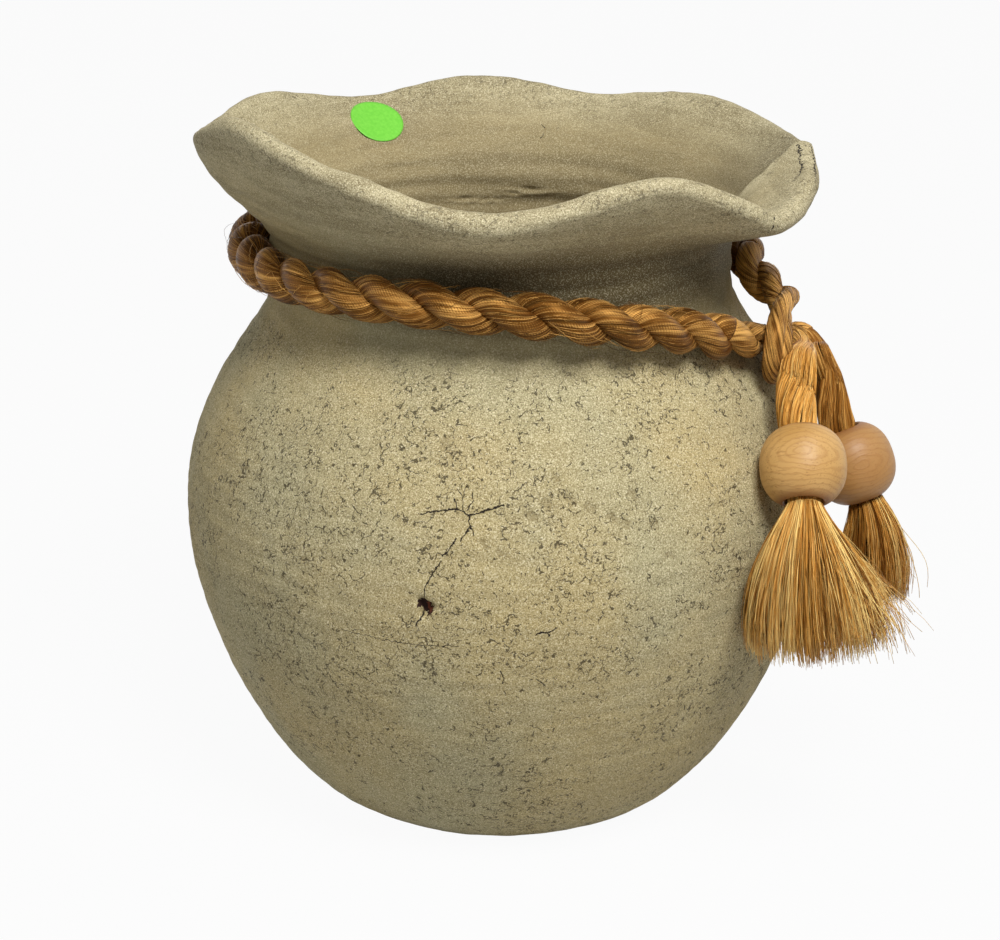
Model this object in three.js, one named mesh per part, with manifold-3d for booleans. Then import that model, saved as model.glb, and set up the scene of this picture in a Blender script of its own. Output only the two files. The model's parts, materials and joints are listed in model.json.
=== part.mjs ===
// Clay pot with a hand-pinched wavy rim, a two-strand rope tied round its neck,
// and a wooden bead and a frayed tassel on each of the rope's two hanging tails.
//
// Millimetres and degrees, +Z up, origin at the centre of the flat base.
// Azimuth 0 is +X and runs counter-clockwise seen from above; the front is -Y.

import * as THREE from 'three';
import { mergeVertices } from 'three/addons/utils/BufferGeometryUtils.js';
import Module from 'manifold-3d';

const wasm = await Module();
wasm.setup();

// Pot body
const baseRadius = 57;
const baseSlope = 24;
const baseSweep = 26;
const bellyRadius = 105;
const bellyHeight = 98;
const bellySweepDown = 35;
const bellySweepUp = 44;
const neckRadius = 74.5;
const neckHeight = 177;
const neckLength = 13;
const neckSweep = 17;
const wallThickness = 8;
const floorThickness = 9;

// Rim: the mean outline, and the pinched waves as [azimuth, rise, extra reach, lean of the lip]
const rimRadius = 100;
const flareHeight = 32;
const rimHeight = neckHeight + neckLength + flareHeight;
const lipThickness = 7;
const flareSweep = 10;
const lipSweep = 18;
const lipWaves = [
  [0, -4, 0, 34],
  [22, -4, 0, 34],
  [45, -0.5, -1, 41],
  [70, -5, -1, 32],
  [94, 0, -1, 42],
  [122, -4.5, -1, 33],
  [145, 2.5, -1, 47],
  [168, -0.5, -0.5, 60],
  [192, 6, -1.5, 76],
  [214, 16.5, -1.5, 80],
  [240, 8, -1, 60],
  [267, -2, -1, 38],
  [298, 6.3, -1, 55],
  [312, -1, 1, 40],
  [325, -11, 3.5, 20],
  [342, -7.5, 3, 27],
];

// Round paper label on the inside of the flare
const stickerDiameter = 19;
const stickerThickness = 0.4;
const stickerAzimuth = 121.5;
const stickerDrop = 7;
const stickerGap = 0.5;

// Two-strand rope; its route round the neck is [azimuth, drop below neckRopeHeight]
const strandDiameter = 6.6;
const strandGap = 0.65;
const ropePitch = 33.7;
const ropeClearance = 0.4;
const neckRopeHeight = neckHeight + neckLength;
const neckRopeRoute = [
  [2, 12.5],
  [20, 10],
  [45, 7],
  [75, 5],
  [105, 3.8],
  [135, 3],
  [165, 3],
  [199, 3],
  [213, 2.8],
  [227.5, 2.2],
  [240.5, 2],
  [253, 2],
  [265, 3],
  [278.5, 5],
  [289, 7.7],
  [303, 12.4],
  [314, 16],
  [320, 18.8],
  [327, 22.2],
];

// Knot on the right-hand side, where the rope is pulled tight and thinner
const knotRopeDiameter = 8.2;
const knotEndStraight = 2.5;

// Tails: where each bead rests on the belly, how the tail slants up to the knot from there,
// and how its tassel hangs
const frontTail = {
  name: 'front',
  beadAzimuth: -34.5,
  beadHeight: 132,
  beadGap: 0.4,
  extraLean: 0,
  slant: 32,
  length: 31,
  tasselAzimuth: -38,
  tasselGap: 0.3,
  tasselLength: 46,
  tasselSpread: 25,
  tasselDepth: 22,
};
const rearTail = {
  name: 'rear',
  beadAzimuth: -14,
  beadHeight: 120,
  beadGap: 0.9,
  extraLean: 6,
  slant: 8,
  length: 33,
  tasselAzimuth: -14,
  tasselGap: 8,
  tasselLength: 34,
  tasselSpread: 14,
  tasselDepth: 14,
};
const tailStrandDiameter = 5.2;

// Wooden beads
const beadDiameter = 27;
const beadHeight = 24;
const beadBore = 11.6;
const beadEdgeRadius = 1;
const beadSquareness = 2.35;

// Tassels: frayed rope below each bead, bound together at the top
const tasselStrands = 150;
const tasselTopDiameter = 12.2;
const tasselBinding = 2.5;
const tasselTipVariation = 0.12;
const lockShare = 0.05;
const lockLevels = 2;
const flareStart = 1.25;
const flareShape = 1.3;

const clearance = 0.3;

// Fineness of the mesh
const azimuthSteps = 54;
const outlineSteps = 7;
const flareSteps = 5;
const routeSteps = 72;
const stepsPerRopeTurn = 9;
const roundSides = 24;
const strandSides = 6;
const tailStrandSides = 12;
const knotSides = 8;
const knotStepLength = 3;

const ropeRadius = strandDiameter + strandGap / 2;

function radians(degrees) {
  return (degrees * Math.PI) / 180;
}

function polar(azimuth, radius, height) {
  const angle = radians(azimuth);
  return new THREE.Vector3(radius * Math.cos(angle), radius * Math.sin(angle), height);
}

function curvePoints(start, handleOut, handleIn, end, count) {
  const curve = new THREE.CubicBezierCurve(start, handleOut, handleIn, end);
  return curve.getPoints(count);
}

// Outline of the body from the edge of the base to the top of the neck, as (radius, height).
// The inside is the same outline drawn in by one wall, above the floor.
function bodyOutline(inset, floor, count) {
  const slope = radians(baseSlope);
  const base = new THREE.Vector2(baseRadius - inset, floor);
  const belly = new THREE.Vector2(bellyRadius - inset, bellyHeight);
  const neck = new THREE.Vector2(neckRadius - inset, neckHeight);
  const lower = curvePoints(
    base,
    new THREE.Vector2(base.x + baseSweep * Math.cos(slope), base.y + baseSweep * Math.sin(slope)),
    new THREE.Vector2(belly.x, belly.y - bellySweepDown),
    belly,
    count,
  );
  const upper = curvePoints(
    belly,
    new THREE.Vector2(belly.x, belly.y + bellySweepUp),
    new THREE.Vector2(neck.x, neck.y - neckSweep),
    neck,
    count,
  );
  return [...lower, ...upper.slice(1), new THREE.Vector2(neck.x, neckHeight + neckLength)];
}

const outerOutline = bodyOutline(0, 0, outlineSteps);

// Radius at which a ball just touches the outside of the pot, when its centre is at this height
function standOff(height, ballRadius) {
  const stepsPerLine = 20;
  let radius = 0;
  for (let i = 0; i < outerOutline.length - 1; i += 1) {
    for (let step = 0; step < stepsPerLine; step += 1) {
      const point = outerOutline[i].clone().lerp(outerOutline[i + 1], step / stepsPerLine);
      const rise = point.y - height;
      if (Math.abs(rise) < ballRadius) {
        radius = Math.max(radius, point.x + Math.sqrt(ballRadius ** 2 - rise ** 2));
      }
    }
  }
  return radius;
}

// Angle by which the wall leans in over this height, 0 where it is upright
function wallLean(height) {
  const span = 2;
  const change = standOff(height - span, span) - standOff(height + span, span);
  return Math.atan2(change, 2 * span);
}

// One column of lipWaves at any azimuth, by a smooth closed curve through its points
function wave(azimuth, column) {
  const count = lipWaves.length;
  const turned = ((azimuth % 360) + 360) % 360;
  let after = lipWaves.findIndex((row) => row[0] > turned);
  if (after < 0) {
    after = count;
  }
  const rows = [-2, -1, 0, 1].map((step) => {
    const index = after + step;
    const lap = Math.floor(index / count);
    const row = lipWaves[index - lap * count];
    return [row[0] + 360 * lap, row[column]];
  });
  const [before, from, to, next] = rows;
  const slopeFrom = (to[1] - before[1]) / (to[0] - before[0]);
  const slopeTo = (next[1] - from[1]) / (next[0] - from[0]);
  const span = to[0] - from[0];
  const t = (turned - from[0]) / span;
  const blend = t * t * (3 - 2 * t);
  const bend = span * t * (1 - t);
  return from[1] + (to[1] - from[1]) * blend + bend * (slopeFrom * (1 - t) - slopeTo * t);
}

// The rim at one azimuth: the lip's round centre and the lean of the flaring wall there
function lipAt(azimuth) {
  const rise = wave(azimuth, 1);
  const reach = rimRadius + wave(azimuth, 2);
  const lean = radians(wave(azimuth, 3));
  const half = lipThickness / 2;
  return { centre: new THREE.Vector2(reach - half, rimHeight + rise - half), lean, half };
}

function lipPoint(lip, turn) {
  const angle = lip.lean + radians(turn);
  return new THREE.Vector2(
    lip.centre.x + lip.half * Math.cos(angle),
    lip.centre.y + lip.half * Math.sin(angle),
  );
}

// The flaring wall from the neck to the lip, on the outside (-90) or the inside (90)
function flareCurve(azimuth, inset, side) {
  const lip = lipAt(azimuth);
  const start = new THREE.Vector2(neckRadius - inset, neckHeight + neckLength);
  const end = lipPoint(lip, side);
  return new THREE.CubicBezierCurve(
    start,
    new THREE.Vector2(start.x, start.y + flareSweep),
    new THREE.Vector2(
      end.x - lipSweep * Math.cos(lip.lean),
      end.y - lipSweep * Math.sin(lip.lean),
    ),
    end,
  );
}

// Every ring of the pot's skin at one azimuth, from the edge of the base over the lip to the floor
function potSection(azimuth) {
  const lip = lipAt(azimuth);
  const outside = bodyOutline(0, 0, outlineSteps);
  const flareOut = flareCurve(azimuth, 0, -90).getPoints(flareSteps).slice(1);
  const nose = [-45, 0, 45].map((turn) => lipPoint(lip, turn));
  const flareIn = flareCurve(azimuth, wallThickness, 90).getPoints(flareSteps).slice(1).reverse();
  const inside = bodyOutline(wallThickness, floorThickness, outlineSteps).reverse();
  return [...outside, ...flareOut, ...nose, ...flareIn, ...inside];
}

// A closed body from rings of points, with a centre point at each end
function ringedBody(rings, firstCentre, lastCentre) {
  const perRing = rings[0].length;
  const positions = rings.flat().flatMap((point) => [point.x, point.y, point.z]);
  const first = rings.length * perRing;
  const last = first + 1;
  positions.push(firstCentre.x, firstCentre.y, firstCentre.z);
  positions.push(lastCentre.x, lastCentre.y, lastCentre.z);
  const faces = [];
  for (let side = 0; side < perRing; side += 1) {
    const next = (side + 1) % perRing;
    faces.push(first, next, side);
    for (let ring = 0; ring < rings.length - 1; ring += 1) {
      const a = ring * perRing + side;
      const b = ring * perRing + next;
      faces.push(a, b, b + perRing, a, b + perRing, a + perRing);
    }
    const top = (rings.length - 1) * perRing;
    faces.push(last, top + side, top + next);
  }
  const geometry = new THREE.BufferGeometry();
  geometry.setAttribute('position', new THREE.Float32BufferAttribute(positions, 3));
  geometry.setIndex(faces);
  geometry.computeVertexNormals();
  return geometry;
}

function potGeometry() {
  const sections = [];
  for (let step = 0; step < azimuthSteps; step += 1) {
    const azimuth = (360 * step) / azimuthSteps;
    sections.push(potSection(azimuth).map((point) => polar(azimuth, point.x, point.y)));
  }
  const rings = sections[0].map((_, ring) => sections.map((section) => section[ring]));
  return ringedBody(rings, new THREE.Vector3(0, 0, 0), new THREE.Vector3(0, 0, floorThickness));
}

// The label follows the inside of the flare, so it is a patch of that surface made thick.
// away is the distance from the wall, measured towards the pot's axis.
function stickerPoint(across, along, away) {
  const azimuth = stickerAzimuth + across / radians(1) / neckRadius;
  const wall = flareCurve(azimuth, wallThickness, 90);
  const lip = lipAt(stickerAzimuth);
  const centreHeight = lip.centre.y + lip.half - stickerDrop;
  const samples = 60;
  const points = wall.getPoints(samples);
  let nearest = 0;
  for (let i = 0; i < points.length; i += 1) {
    if (points[i].y < centreHeight) {
      nearest = i;
    }
  }
  const length = wall.getLength();
  const start = wall.getLengths(samples)[nearest];
  const part = THREE.MathUtils.clamp((start + along) / length, 0, 1);
  const point = wall.getPointAt(part);
  const tangent = wall.getTangentAt(part);
  const radius = point.x - away * tangent.y;
  return polar(azimuth, radius, point.y + away * tangent.x);
}

function stickerGeometry() {
  const midShare = 0.5;
  const rings = [];
  const layers = [
    [midShare, stickerGap],
    [1, stickerGap],
    [1, stickerGap + stickerThickness],
    [midShare, stickerGap + stickerThickness],
  ];
  for (const [share, away] of layers) {
    const ring = [];
    for (let side = 0; side < roundSides; side += 1) {
      const angle = (-2 * Math.PI * side) / roundSides;
      const reach = (share * stickerDiameter) / 2;
      ring.push(stickerPoint(reach * Math.cos(angle), reach * Math.sin(angle), away));
    }
    rings.push(ring);
  }
  return ringedBody(
    rings,
    stickerPoint(0, 0, stickerGap),
    stickerPoint(0, 0, stickerGap + stickerThickness),
  );
}

// A round tube with flat ends along a curve
function tubeGeometry(curve, diameter, sides, steps) {
  const section = new THREE.Shape();
  for (let side = 0; side < sides; side += 1) {
    const angle = (2 * Math.PI * side) / sides;
    const x = (diameter / 2) * Math.cos(angle);
    const y = (diameter / 2) * Math.sin(angle);
    if (side === 0) {
      section.moveTo(x, y);
    } else {
      section.lineTo(x, y);
    }
  }
  section.closePath();
  curve.arcLengthDivisions = 2000;
  return new THREE.ExtrudeGeometry(section, { steps, extrudePath: curve, bevelEnabled: false });
}

// The middle of the rope round the neck, resting against the pot all the way
function neckRopeCurve() {
  const route = new THREE.SplineCurve(
    neckRopeRoute.map(([azimuth, drop]) => new THREE.Vector2(azimuth, neckRopeHeight - drop)),
  );
  const points = route
    .getSpacedPoints(routeSteps)
    .map((point) => polar(point.x, standOff(point.y, ropeRadius + ropeClearance), point.y));
  const curve = new THREE.CatmullRomCurve3(points, false, 'centripetal');
  curve.arcLengthDivisions = 2000;
  return curve;
}

// One strand of the rope: a helix round the rope's middle, half a turn from the other strand
class StrandCurve extends THREE.Curve {
  constructor(middle, phase) {
    super();
    this.middle = middle;
    this.phase = phase;
    this.turns = middle.getLength() / ropePitch;
  }

  getPoint(t, target = new THREE.Vector3()) {
    const centre = this.middle.getPointAt(t);
    const forward = this.middle.getTangentAt(t);
    const outward = new THREE.Vector3(centre.x, centre.y, 0).normalize();
    outward.addScaledVector(forward, -outward.dot(forward)).normalize();
    const across = new THREE.Vector3().crossVectors(forward, outward);
    const angle = 2 * Math.PI * this.turns * t + this.phase;
    const offset = (strandDiameter + strandGap) / 2;
    return target
      .copy(centre)
      .addScaledVector(outward, offset * Math.cos(angle))
      .addScaledVector(across, offset * Math.sin(angle));
  }
}

function collarStrandGeometry(phase) {
  const curve = new StrandCurve(neckRopeCurve(), phase);
  const steps = Math.round(curve.turns * stepsPerRopeTurn);
  return tubeGeometry(curve, strandDiameter, strandSides, steps);
}

// Frame of one tail. It lies along the belly: out is away from the pot, up runs from
// the bead to the knot, side lies across the tail, and top is where it leaves the knot.
function tailFrame(tail) {
  const height = tail.beadHeight;
  const reach = beadDiameter / 2 + clearance + tail.beadGap;
  const bead = polar(tail.beadAzimuth, standOff(height, reach), height);
  const radial = polar(tail.beadAzimuth, 1, 0);
  const tangent = polar(tail.beadAzimuth + 90, 1, 0);
  const lean = wallLean(height) + radians(tail.extraLean);
  const slant = radians(tail.slant);
  const up = new THREE.Vector3()
    .addScaledVector(radial, -Math.sin(lean) * Math.cos(slant))
    .addScaledVector(tangent, Math.sin(slant));
  up.z = Math.cos(lean) * Math.cos(slant);
  const side = new THREE.Vector3().crossVectors(up, radial).normalize();
  const out = new THREE.Vector3().crossVectors(side, up).normalize();
  const top = bead.clone().addScaledVector(up, tail.length);
  return { bead, up, side, out, top };
}

// Stands a part that was made along +Z with its origin at a point of the tail
function placeOnTail(mesh, frame, origin) {
  const axes = new THREE.Matrix4().makeBasis(frame.side.clone().negate(), frame.out, frame.up);
  mesh.quaternion.setFromRotationMatrix(axes);
  mesh.position.copy(origin);
  return mesh;
}

// A direction or an offset, turned into the frame of a part that placeOnTail places
function inTailFrame(vector, frame) {
  return new THREE.Vector3(-vector.dot(frame.side), vector.dot(frame.out), vector.dot(frame.up));
}

// A point beside the pot for the middle of the knot's rope: outward is its distance from
// resting on the wall, drop its distance below neckRopeHeight
function knotPoint(azimuth, outward, drop) {
  const height = neckRopeHeight - drop;
  const reach = standOff(height, knotRopeDiameter / 2 + clearance);
  return polar(azimuth, reach + outward, height);
}

// The last two points of the rope in the knot, pointing along leave, just short of the tail
function knotEnd(frame, leave) {
  const gap = clearance + tailStrandDiameter / 2;
  return [
    frame.top.clone().addScaledVector(leave, -gap - knotEndStraight),
    frame.top.clone().addScaledVector(leave, -gap),
  ];
}

// Front end of the rope: under the wrap, round, and down into the front tail
function knotTurnCurve(frame) {
  return new THREE.CatmullRomCurve3([
    knotPoint(-31, 0, 24),
    knotPoint(-28, 0, 25.3),
    knotPoint(-24.5, 0, 26.8),
    knotPoint(-20.8, 0.9, 27.5),
    knotPoint(-18, 4.2, 28.1),
    knotPoint(-17.6, 8.2, 27.9),
    knotPoint(-18.8, 12.2, 27.4),
    knotPoint(-21.6, 15.3, 27.5),
    ...knotEnd(frame, frame.up.clone().negate()),
  ]);
}

// Back end of the rope: over the front end, down, behind it, and out to the rear tail
function knotWrapCurve(frame) {
  return new THREE.CatmullRomCurve3([
    knotPoint(-0.1, 2, 13),
    knotPoint(-7.1, 1.5, 13.1),
    knotPoint(-14, 7.3, 14.5),
    knotPoint(-20, 16.7, 14.5),
    knotPoint(-28.6, 16.7, 21.8),
    knotPoint(-29.6, 11.2, 28.6),
    knotPoint(-28.4, 6.4, 33.3),
    knotPoint(-25, 3.9, 36.8),
    knotPoint(-22.4, 2.8, 37.6),
    knotPoint(-20.8, 1.8, 37.8),
    knotPoint(-15.1, 0, 36.6),
    knotPoint(-12, 2.6, 37),
    ...knotEnd(frame, frame.out.clone().sub(frame.up).normalize()),
  ]);
}

// A tail strand hangs straight, round at the top so that it can turn in the knot
function tailStrandGeometry(tail) {
  const radius = tailStrandDiameter / 2;
  const bottom = tail.length + beadHeight / 2 - clearance;
  const profile = [new THREE.Vector2(0, -bottom), new THREE.Vector2(radius, -bottom)];
  const arcSteps = 4;
  for (let step = 0; step < arcSteps; step += 1) {
    const angle = (Math.PI / 2) * (step / arcSteps);
    profile.push(new THREE.Vector2(radius * Math.cos(angle), radius * Math.sin(angle)));
  }
  profile.push(new THREE.Vector2(0, radius));
  return new THREE.LatheGeometry(profile, tailStrandSides).rotateX(Math.PI / 2);
}

function knotGeometry(curve) {
  const steps = Math.round(curve.getLength() / knotStepLength);
  return tubeGeometry(curve, knotRopeDiameter, knotSides, steps);
}

// Bead: a ball turned from wood, flattened where the bore comes out, with eased bore edges
function beadGeometry() {
  const bore = beadBore / 2;
  const half = beadHeight / 2;
  const face = bore + beadEdgeRadius;
  const arcSteps = 10;
  const widest = beadDiameter / 2;
  const power = 2 / beadSquareness;
  const faceShare = face / widest;
  const endAngle = Math.acos(faceShare ** (1 / power));
  const stretch = half / Math.sin(endAngle) ** power;
  const profile = [];
  for (let step = 0; step <= arcSteps; step += 1) {
    const angle = endAngle * ((2 * step) / arcSteps - 1);
    const height = stretch * Math.sign(angle) * Math.abs(Math.sin(angle)) ** power;
    profile.push(new THREE.Vector2(widest * Math.cos(angle) ** power, height));
  }
  profile.push(new THREE.Vector2(bore, half - beadEdgeRadius));
  profile.push(new THREE.Vector2(bore, -half + beadEdgeRadius));
  profile.push(profile[0].clone());
  return new THREE.LatheGeometry(profile, roundSides).rotateX(Math.PI / 2);
}

function toManifold(geometry) {
  const bare = geometry.clone();
  bare.deleteAttribute('normal');
  bare.deleteAttribute('uv');
  const merged = mergeVertices(bare, 1e-4);
  return new wasm.Manifold(
    new wasm.Mesh({
      numProp: 3,
      vertProperties: new Float32Array(merged.attributes.position.array),
      triVerts: new Uint32Array(merged.index.array),
    }),
  );
}

function fromManifold(solid) {
  const mesh = solid.getMesh();
  const geometry = new THREE.BufferGeometry();
  geometry.setAttribute('position', new THREE.BufferAttribute(mesh.vertProperties, 3));
  geometry.setIndex(new THREE.BufferAttribute(mesh.triVerts, 1));
  return geometry.toNonIndexed();
}

// A tassel is made in its own frame: x across the tail, y away from the pot, z up the tail,
// with the origin in the middle of the binding's lower face
function tasselOrigin(frame) {
  const drop = beadHeight / 2 + clearance + tasselBinding;
  return frame.bead.clone().addScaledVector(frame.up, -drop);
}

// Middle line of a tassel: it leaves the bead along the tail and bends down under its weight,
// far enough out for its inner side to clear the belly
function tasselCurve(tail, frame) {
  const origin = tasselOrigin(frame);
  const endHeight = origin.z - tail.tasselLength;
  const reach = standOff(endHeight, tail.tasselDepth + tail.tasselGap);
  const end = polar(tail.tasselAzimuth, reach, endHeight).sub(origin);
  return new THREE.QuadraticBezierCurve3(
    new THREE.Vector3(0, 0, 0),
    new THREE.Vector3(0, 0, -tail.tasselLength / 3),
    inTailFrame(end, frame),
  );
}

// Corners of one lock of fibre, ring by ring. Every lock keeps its place in the bundle
// while the bundle widens, so no two cross.
function lockRings(tail, frame, line, index) {
  const goldenAngle = Math.PI * (3 - Math.sqrt(5));
  const topRadius = tasselTopDiameter / 2;
  const reach = Math.sqrt((index + 0.5) / tasselStrands) * (1 - 2 * lockShare);
  const turn = index * goldenAngle;
  const tip = 1 - tasselTipVariation * (0.5 + 0.5 * Math.sin(7 * turn));
  const levelAcross = inTailFrame(polar(tail.beadAzimuth - 90, 1, 0), frame);
  const levelAway = inTailFrame(polar(tail.beadAzimuth, 1, 0), frame);
  const rings = [];
  for (let level = 0; level <= lockLevels; level += 1) {
    const share = (tip * level) / lockLevels;
    const spread = Math.sin((Math.PI / 2) * Math.min(1, flareStart * share)) ** flareShape;
    const wide = topRadius + (tail.tasselSpread - topRadius) * spread;
    const deep = topRadius + (tail.tasselDepth - topRadius) * spread;
    const across = new THREE.Vector3(1, 0, 0).lerp(levelAcross, spread);
    const away = new THREE.Vector3(0, 1, 0).lerp(levelAway, spread);
    const ring = [0, 1, 2].map((corner) => {
      const angle = turn + (2 * Math.PI * corner) / 3;
      const x = wide * (reach * Math.cos(turn) + lockShare * Math.cos(angle));
      const y = deep * (reach * Math.sin(turn) + lockShare * Math.sin(angle));
      return line.getPoint(share).addScaledVector(across, x).addScaledVector(away, y);
    });
    rings.push(ring);
  }
  return rings;
}

// Triangles of one closed three-sided lock, from its root ring down to its tip ring
function lockTriangles(rings) {
  const corners = [];
  const last = rings.length - 1;
  corners.push(rings[0][0], rings[0][1], rings[0][2]);
  corners.push(rings[last][2], rings[last][1], rings[last][0]);
  for (let level = 0; level < last; level += 1) {
    for (let corner = 0; corner < 3; corner += 1) {
      const next = (corner + 1) % 3;
      const a = rings[level][corner];
      const b = rings[level][next];
      const c = rings[level + 1][next];
      const d = rings[level + 1][corner];
      corners.push(a, c, b, a, d, c);
    }
  }
  return corners.flatMap((point) => [point.x, point.y, point.z]);
}

// Tassel: frayed locks fused to the bound top that the bead rests on
function tasselGeometry(tail, frame) {
  const line = tasselCurve(tail, frame);
  const positions = [];
  for (let index = 0; index < tasselStrands; index += 1) {
    positions.push(...lockTriangles(lockRings(tail, frame, line, index)));
  }
  const locks = new THREE.BufferGeometry();
  locks.setAttribute('position', new THREE.Float32BufferAttribute(positions, 3));
  const radius = tasselTopDiameter / 2;
  const binding = new THREE.CylinderGeometry(radius, radius, tasselBinding, roundSides);
  binding.rotateX(Math.PI / 2);
  binding.translate(0, 0, tasselBinding / 2);
  return fromManifold(toManifold(binding).add(toManifold(locks)));
}

function matte(color, roughness) {
  return new THREE.MeshStandardMaterial({ color, roughness, metalness: 0 });
}

const clay = matte(0xb3a586, 0.9);
const labelPaper = matte(0x7bea3c, 0.6);
const ropeFibre = matte(0xa8692c, 0.55);
const strawFibre = matte(0xc9964f, 0.6);
const beadWood = matte(0xd2a565, 0.5);

function named(name, geometry, material) {
  const mesh = new THREE.Mesh(geometry, material);
  mesh.name = name;
  return mesh;
}

const object = new THREE.Group();
object.add(named('pot', potGeometry(), clay));
object.add(named('price_sticker', stickerGeometry(), labelPaper));
object.add(named('collar_strand_a', collarStrandGeometry(0), ropeFibre));
object.add(named('collar_strand_b', collarStrandGeometry(Math.PI), ropeFibre));

const frontFrame = tailFrame(frontTail);
const rearFrame = tailFrame(rearTail);
object.add(named('knot_turn', knotGeometry(knotTurnCurve(frontFrame)), ropeFibre));
object.add(named('knot_wrap', knotGeometry(knotWrapCurve(rearFrame)), ropeFibre));

function addTail(tail, frame) {
  const apart = (tailStrandDiameter + strandGap) / 2;
  for (const [letter, offset] of [['a', -apart], ['b', apart]]) {
    const strand = named(`${tail.name}_tail_strand_${letter}`, tailStrandGeometry(tail), ropeFibre);
    object.add(placeOnTail(strand, frame, frame.top.clone().addScaledVector(frame.side, offset)));
  }
  const bead = named(`${tail.name}_bead`, beadGeometry(), beadWood);
  object.add(placeOnTail(bead, frame, frame.bead));
  const tassel = named(`${tail.name}_tassel`, tasselGeometry(tail, frame), strawFibre);
  object.add(placeOnTail(tassel, frame, tasselOrigin(frame)));
}

addTail(frontTail, frontFrame);
addTail(rearTail, rearFrame);

export default object;
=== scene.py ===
import bpy
import numpy as np
from mathutils import Matrix
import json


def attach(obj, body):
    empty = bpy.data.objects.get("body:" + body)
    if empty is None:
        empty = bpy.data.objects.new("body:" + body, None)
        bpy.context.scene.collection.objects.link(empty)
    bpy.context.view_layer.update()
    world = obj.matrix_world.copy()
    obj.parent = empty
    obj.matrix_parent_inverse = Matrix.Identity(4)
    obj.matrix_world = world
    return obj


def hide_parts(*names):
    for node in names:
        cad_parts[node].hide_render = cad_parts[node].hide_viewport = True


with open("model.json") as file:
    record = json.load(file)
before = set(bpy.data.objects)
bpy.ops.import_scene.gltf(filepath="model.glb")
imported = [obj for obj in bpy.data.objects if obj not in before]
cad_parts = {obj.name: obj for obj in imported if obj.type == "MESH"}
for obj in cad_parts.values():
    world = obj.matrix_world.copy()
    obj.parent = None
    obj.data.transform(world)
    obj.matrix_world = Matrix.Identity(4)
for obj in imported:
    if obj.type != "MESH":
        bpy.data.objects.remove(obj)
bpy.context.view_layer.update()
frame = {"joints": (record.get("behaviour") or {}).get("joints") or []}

# Camera. The photograph looks down on the pot by 20 degrees from a little under a metre away,
# through a long lens, with the pot's axis in the middle of the frame.
camera_place, camera_tilt, film_width, lens = (-0.0005, -0.80766, 0.40136), 20, 36, 92.05
camera = bpy.data.objects.new("photo_camera", bpy.data.cameras.new("photo_camera"))
camera.data.sensor_width = film_width
camera.data.lens = lens
camera.location = camera_place
camera.rotation_euler = (np.radians(90 - camera_tilt), 0, 0)
bpy.context.collection.objects.link(camera)
bpy.context.scene.camera = camera


# Pot. Thrown from a coarse buff clay, with a round belly, a short neck and a flaring rim that was
# pinched into waves while it was soft. It is fired without a glaze, and it is crackled, pitted
# and lightly dented all over.
base_radius, base_slope, base_sweep = 0.057, np.radians(24), 0.026
belly_radius, belly_height, belly_down, belly_up = 0.105, 0.098, 0.035, 0.044
neck_radius, neck_height, neck_top, neck_sweep = 0.0745, 0.177, 0.19, 0.017
pot_wall, pot_floor = 0.008, 0.009
rim_radius, rim_height, lip_half = 0.1, 0.222, 0.0035
flare_sweep, lip_sweep = 0.01, 0.018

# Each pinch of the rim: azimuth, rise and extra reach in millimetres, lean of the lip in degrees
pinches = np.array([
    (0, -4, 0, 34), (22, -4, 0, 34), (45, -0.5, -1, 41), (70, -5, -1, 32),
    (94, 0, -1, 42), (122, -4.5, -1, 33), (145, 2.5, -1, 47), (168, -0.5, -0.5, 60),
    (192, 6, -1.5, 76), (214, 16.5, -1.5, 80), (240, 8, -1, 60), (267, -2, -1, 38),
    (298, 6.3, -1, 55), (312, -1, 1, 40), (325, -11, 3.5, 20), (342, -7.5, 3, 27),
])


def bezier(a, b, c, d, count):
    t = np.linspace(0, 1, count).reshape(-1, *[1] * np.ndim(a))
    a, b, c, d = (np.asarray(point, float)[None] for point in (a, b, c, d))
    return (1 - t) ** 3 * a + 3 * t * (1 - t) ** 2 * b + 3 * t * t * (1 - t) * c + t ** 3 * d


def body_outline(inset, floor):
    """(radius, height) from the edge of the base up to the neck, 1 mm or less apart."""
    base = np.array([base_radius - inset, floor])
    belly = np.array([belly_radius - inset, belly_height])
    neck = np.array([neck_radius - inset, neck_height])
    out = base + base_sweep * np.array([np.cos(base_slope), np.sin(base_slope)])
    lower = bezier(base, out, belly - [0, belly_down], belly, 200)
    upper = bezier(belly, belly + [0, belly_up], neck - [0, neck_sweep], neck, 160)
    straight = np.linspace(neck, [neck[0], neck_top], 14)
    return np.vstack([lower, upper[1:], straight[1:]])


def pinch(azimuth, column):
    """A column of the pinches at any azimuth, on a smooth closed curve."""
    lap = np.array([360, 0, 0, 0])
    rows = np.vstack([pinches[-2:] - lap, pinches, pinches[:2] + lap])
    at, value = rows[:, 0], rows[:, column]
    slope = np.gradient(value)
    slope[1:-1] = (value[2:] - value[:-2]) / (at[2:] - at[:-2])
    turned = np.mod(azimuth, 360)
    i = np.searchsorted(at, turned, side="right") - 1
    span = at[i + 1] - at[i]
    t = (turned - at[i]) / span
    rise = value[i] + (value[i + 1] - value[i]) * t * t * (3 - 2 * t)
    return rise + span * t * (1 - t) * (slope[i] * (1 - t) - slope[i + 1] * t)


def lip_point(azimuth, turn):
    """A point of the round lip, -90 degrees being its outer side and 90 its inner side."""
    lean = np.radians(pinch(azimuth, 3) + turn)
    middle = rim_radius + pinch(azimuth, 2) / 1000 - lip_half
    height = rim_height + pinch(azimuth, 1) / 1000 - lip_half
    return np.stack([middle + lip_half * np.cos(lean), height + lip_half * np.sin(lean)], -1)


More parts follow.
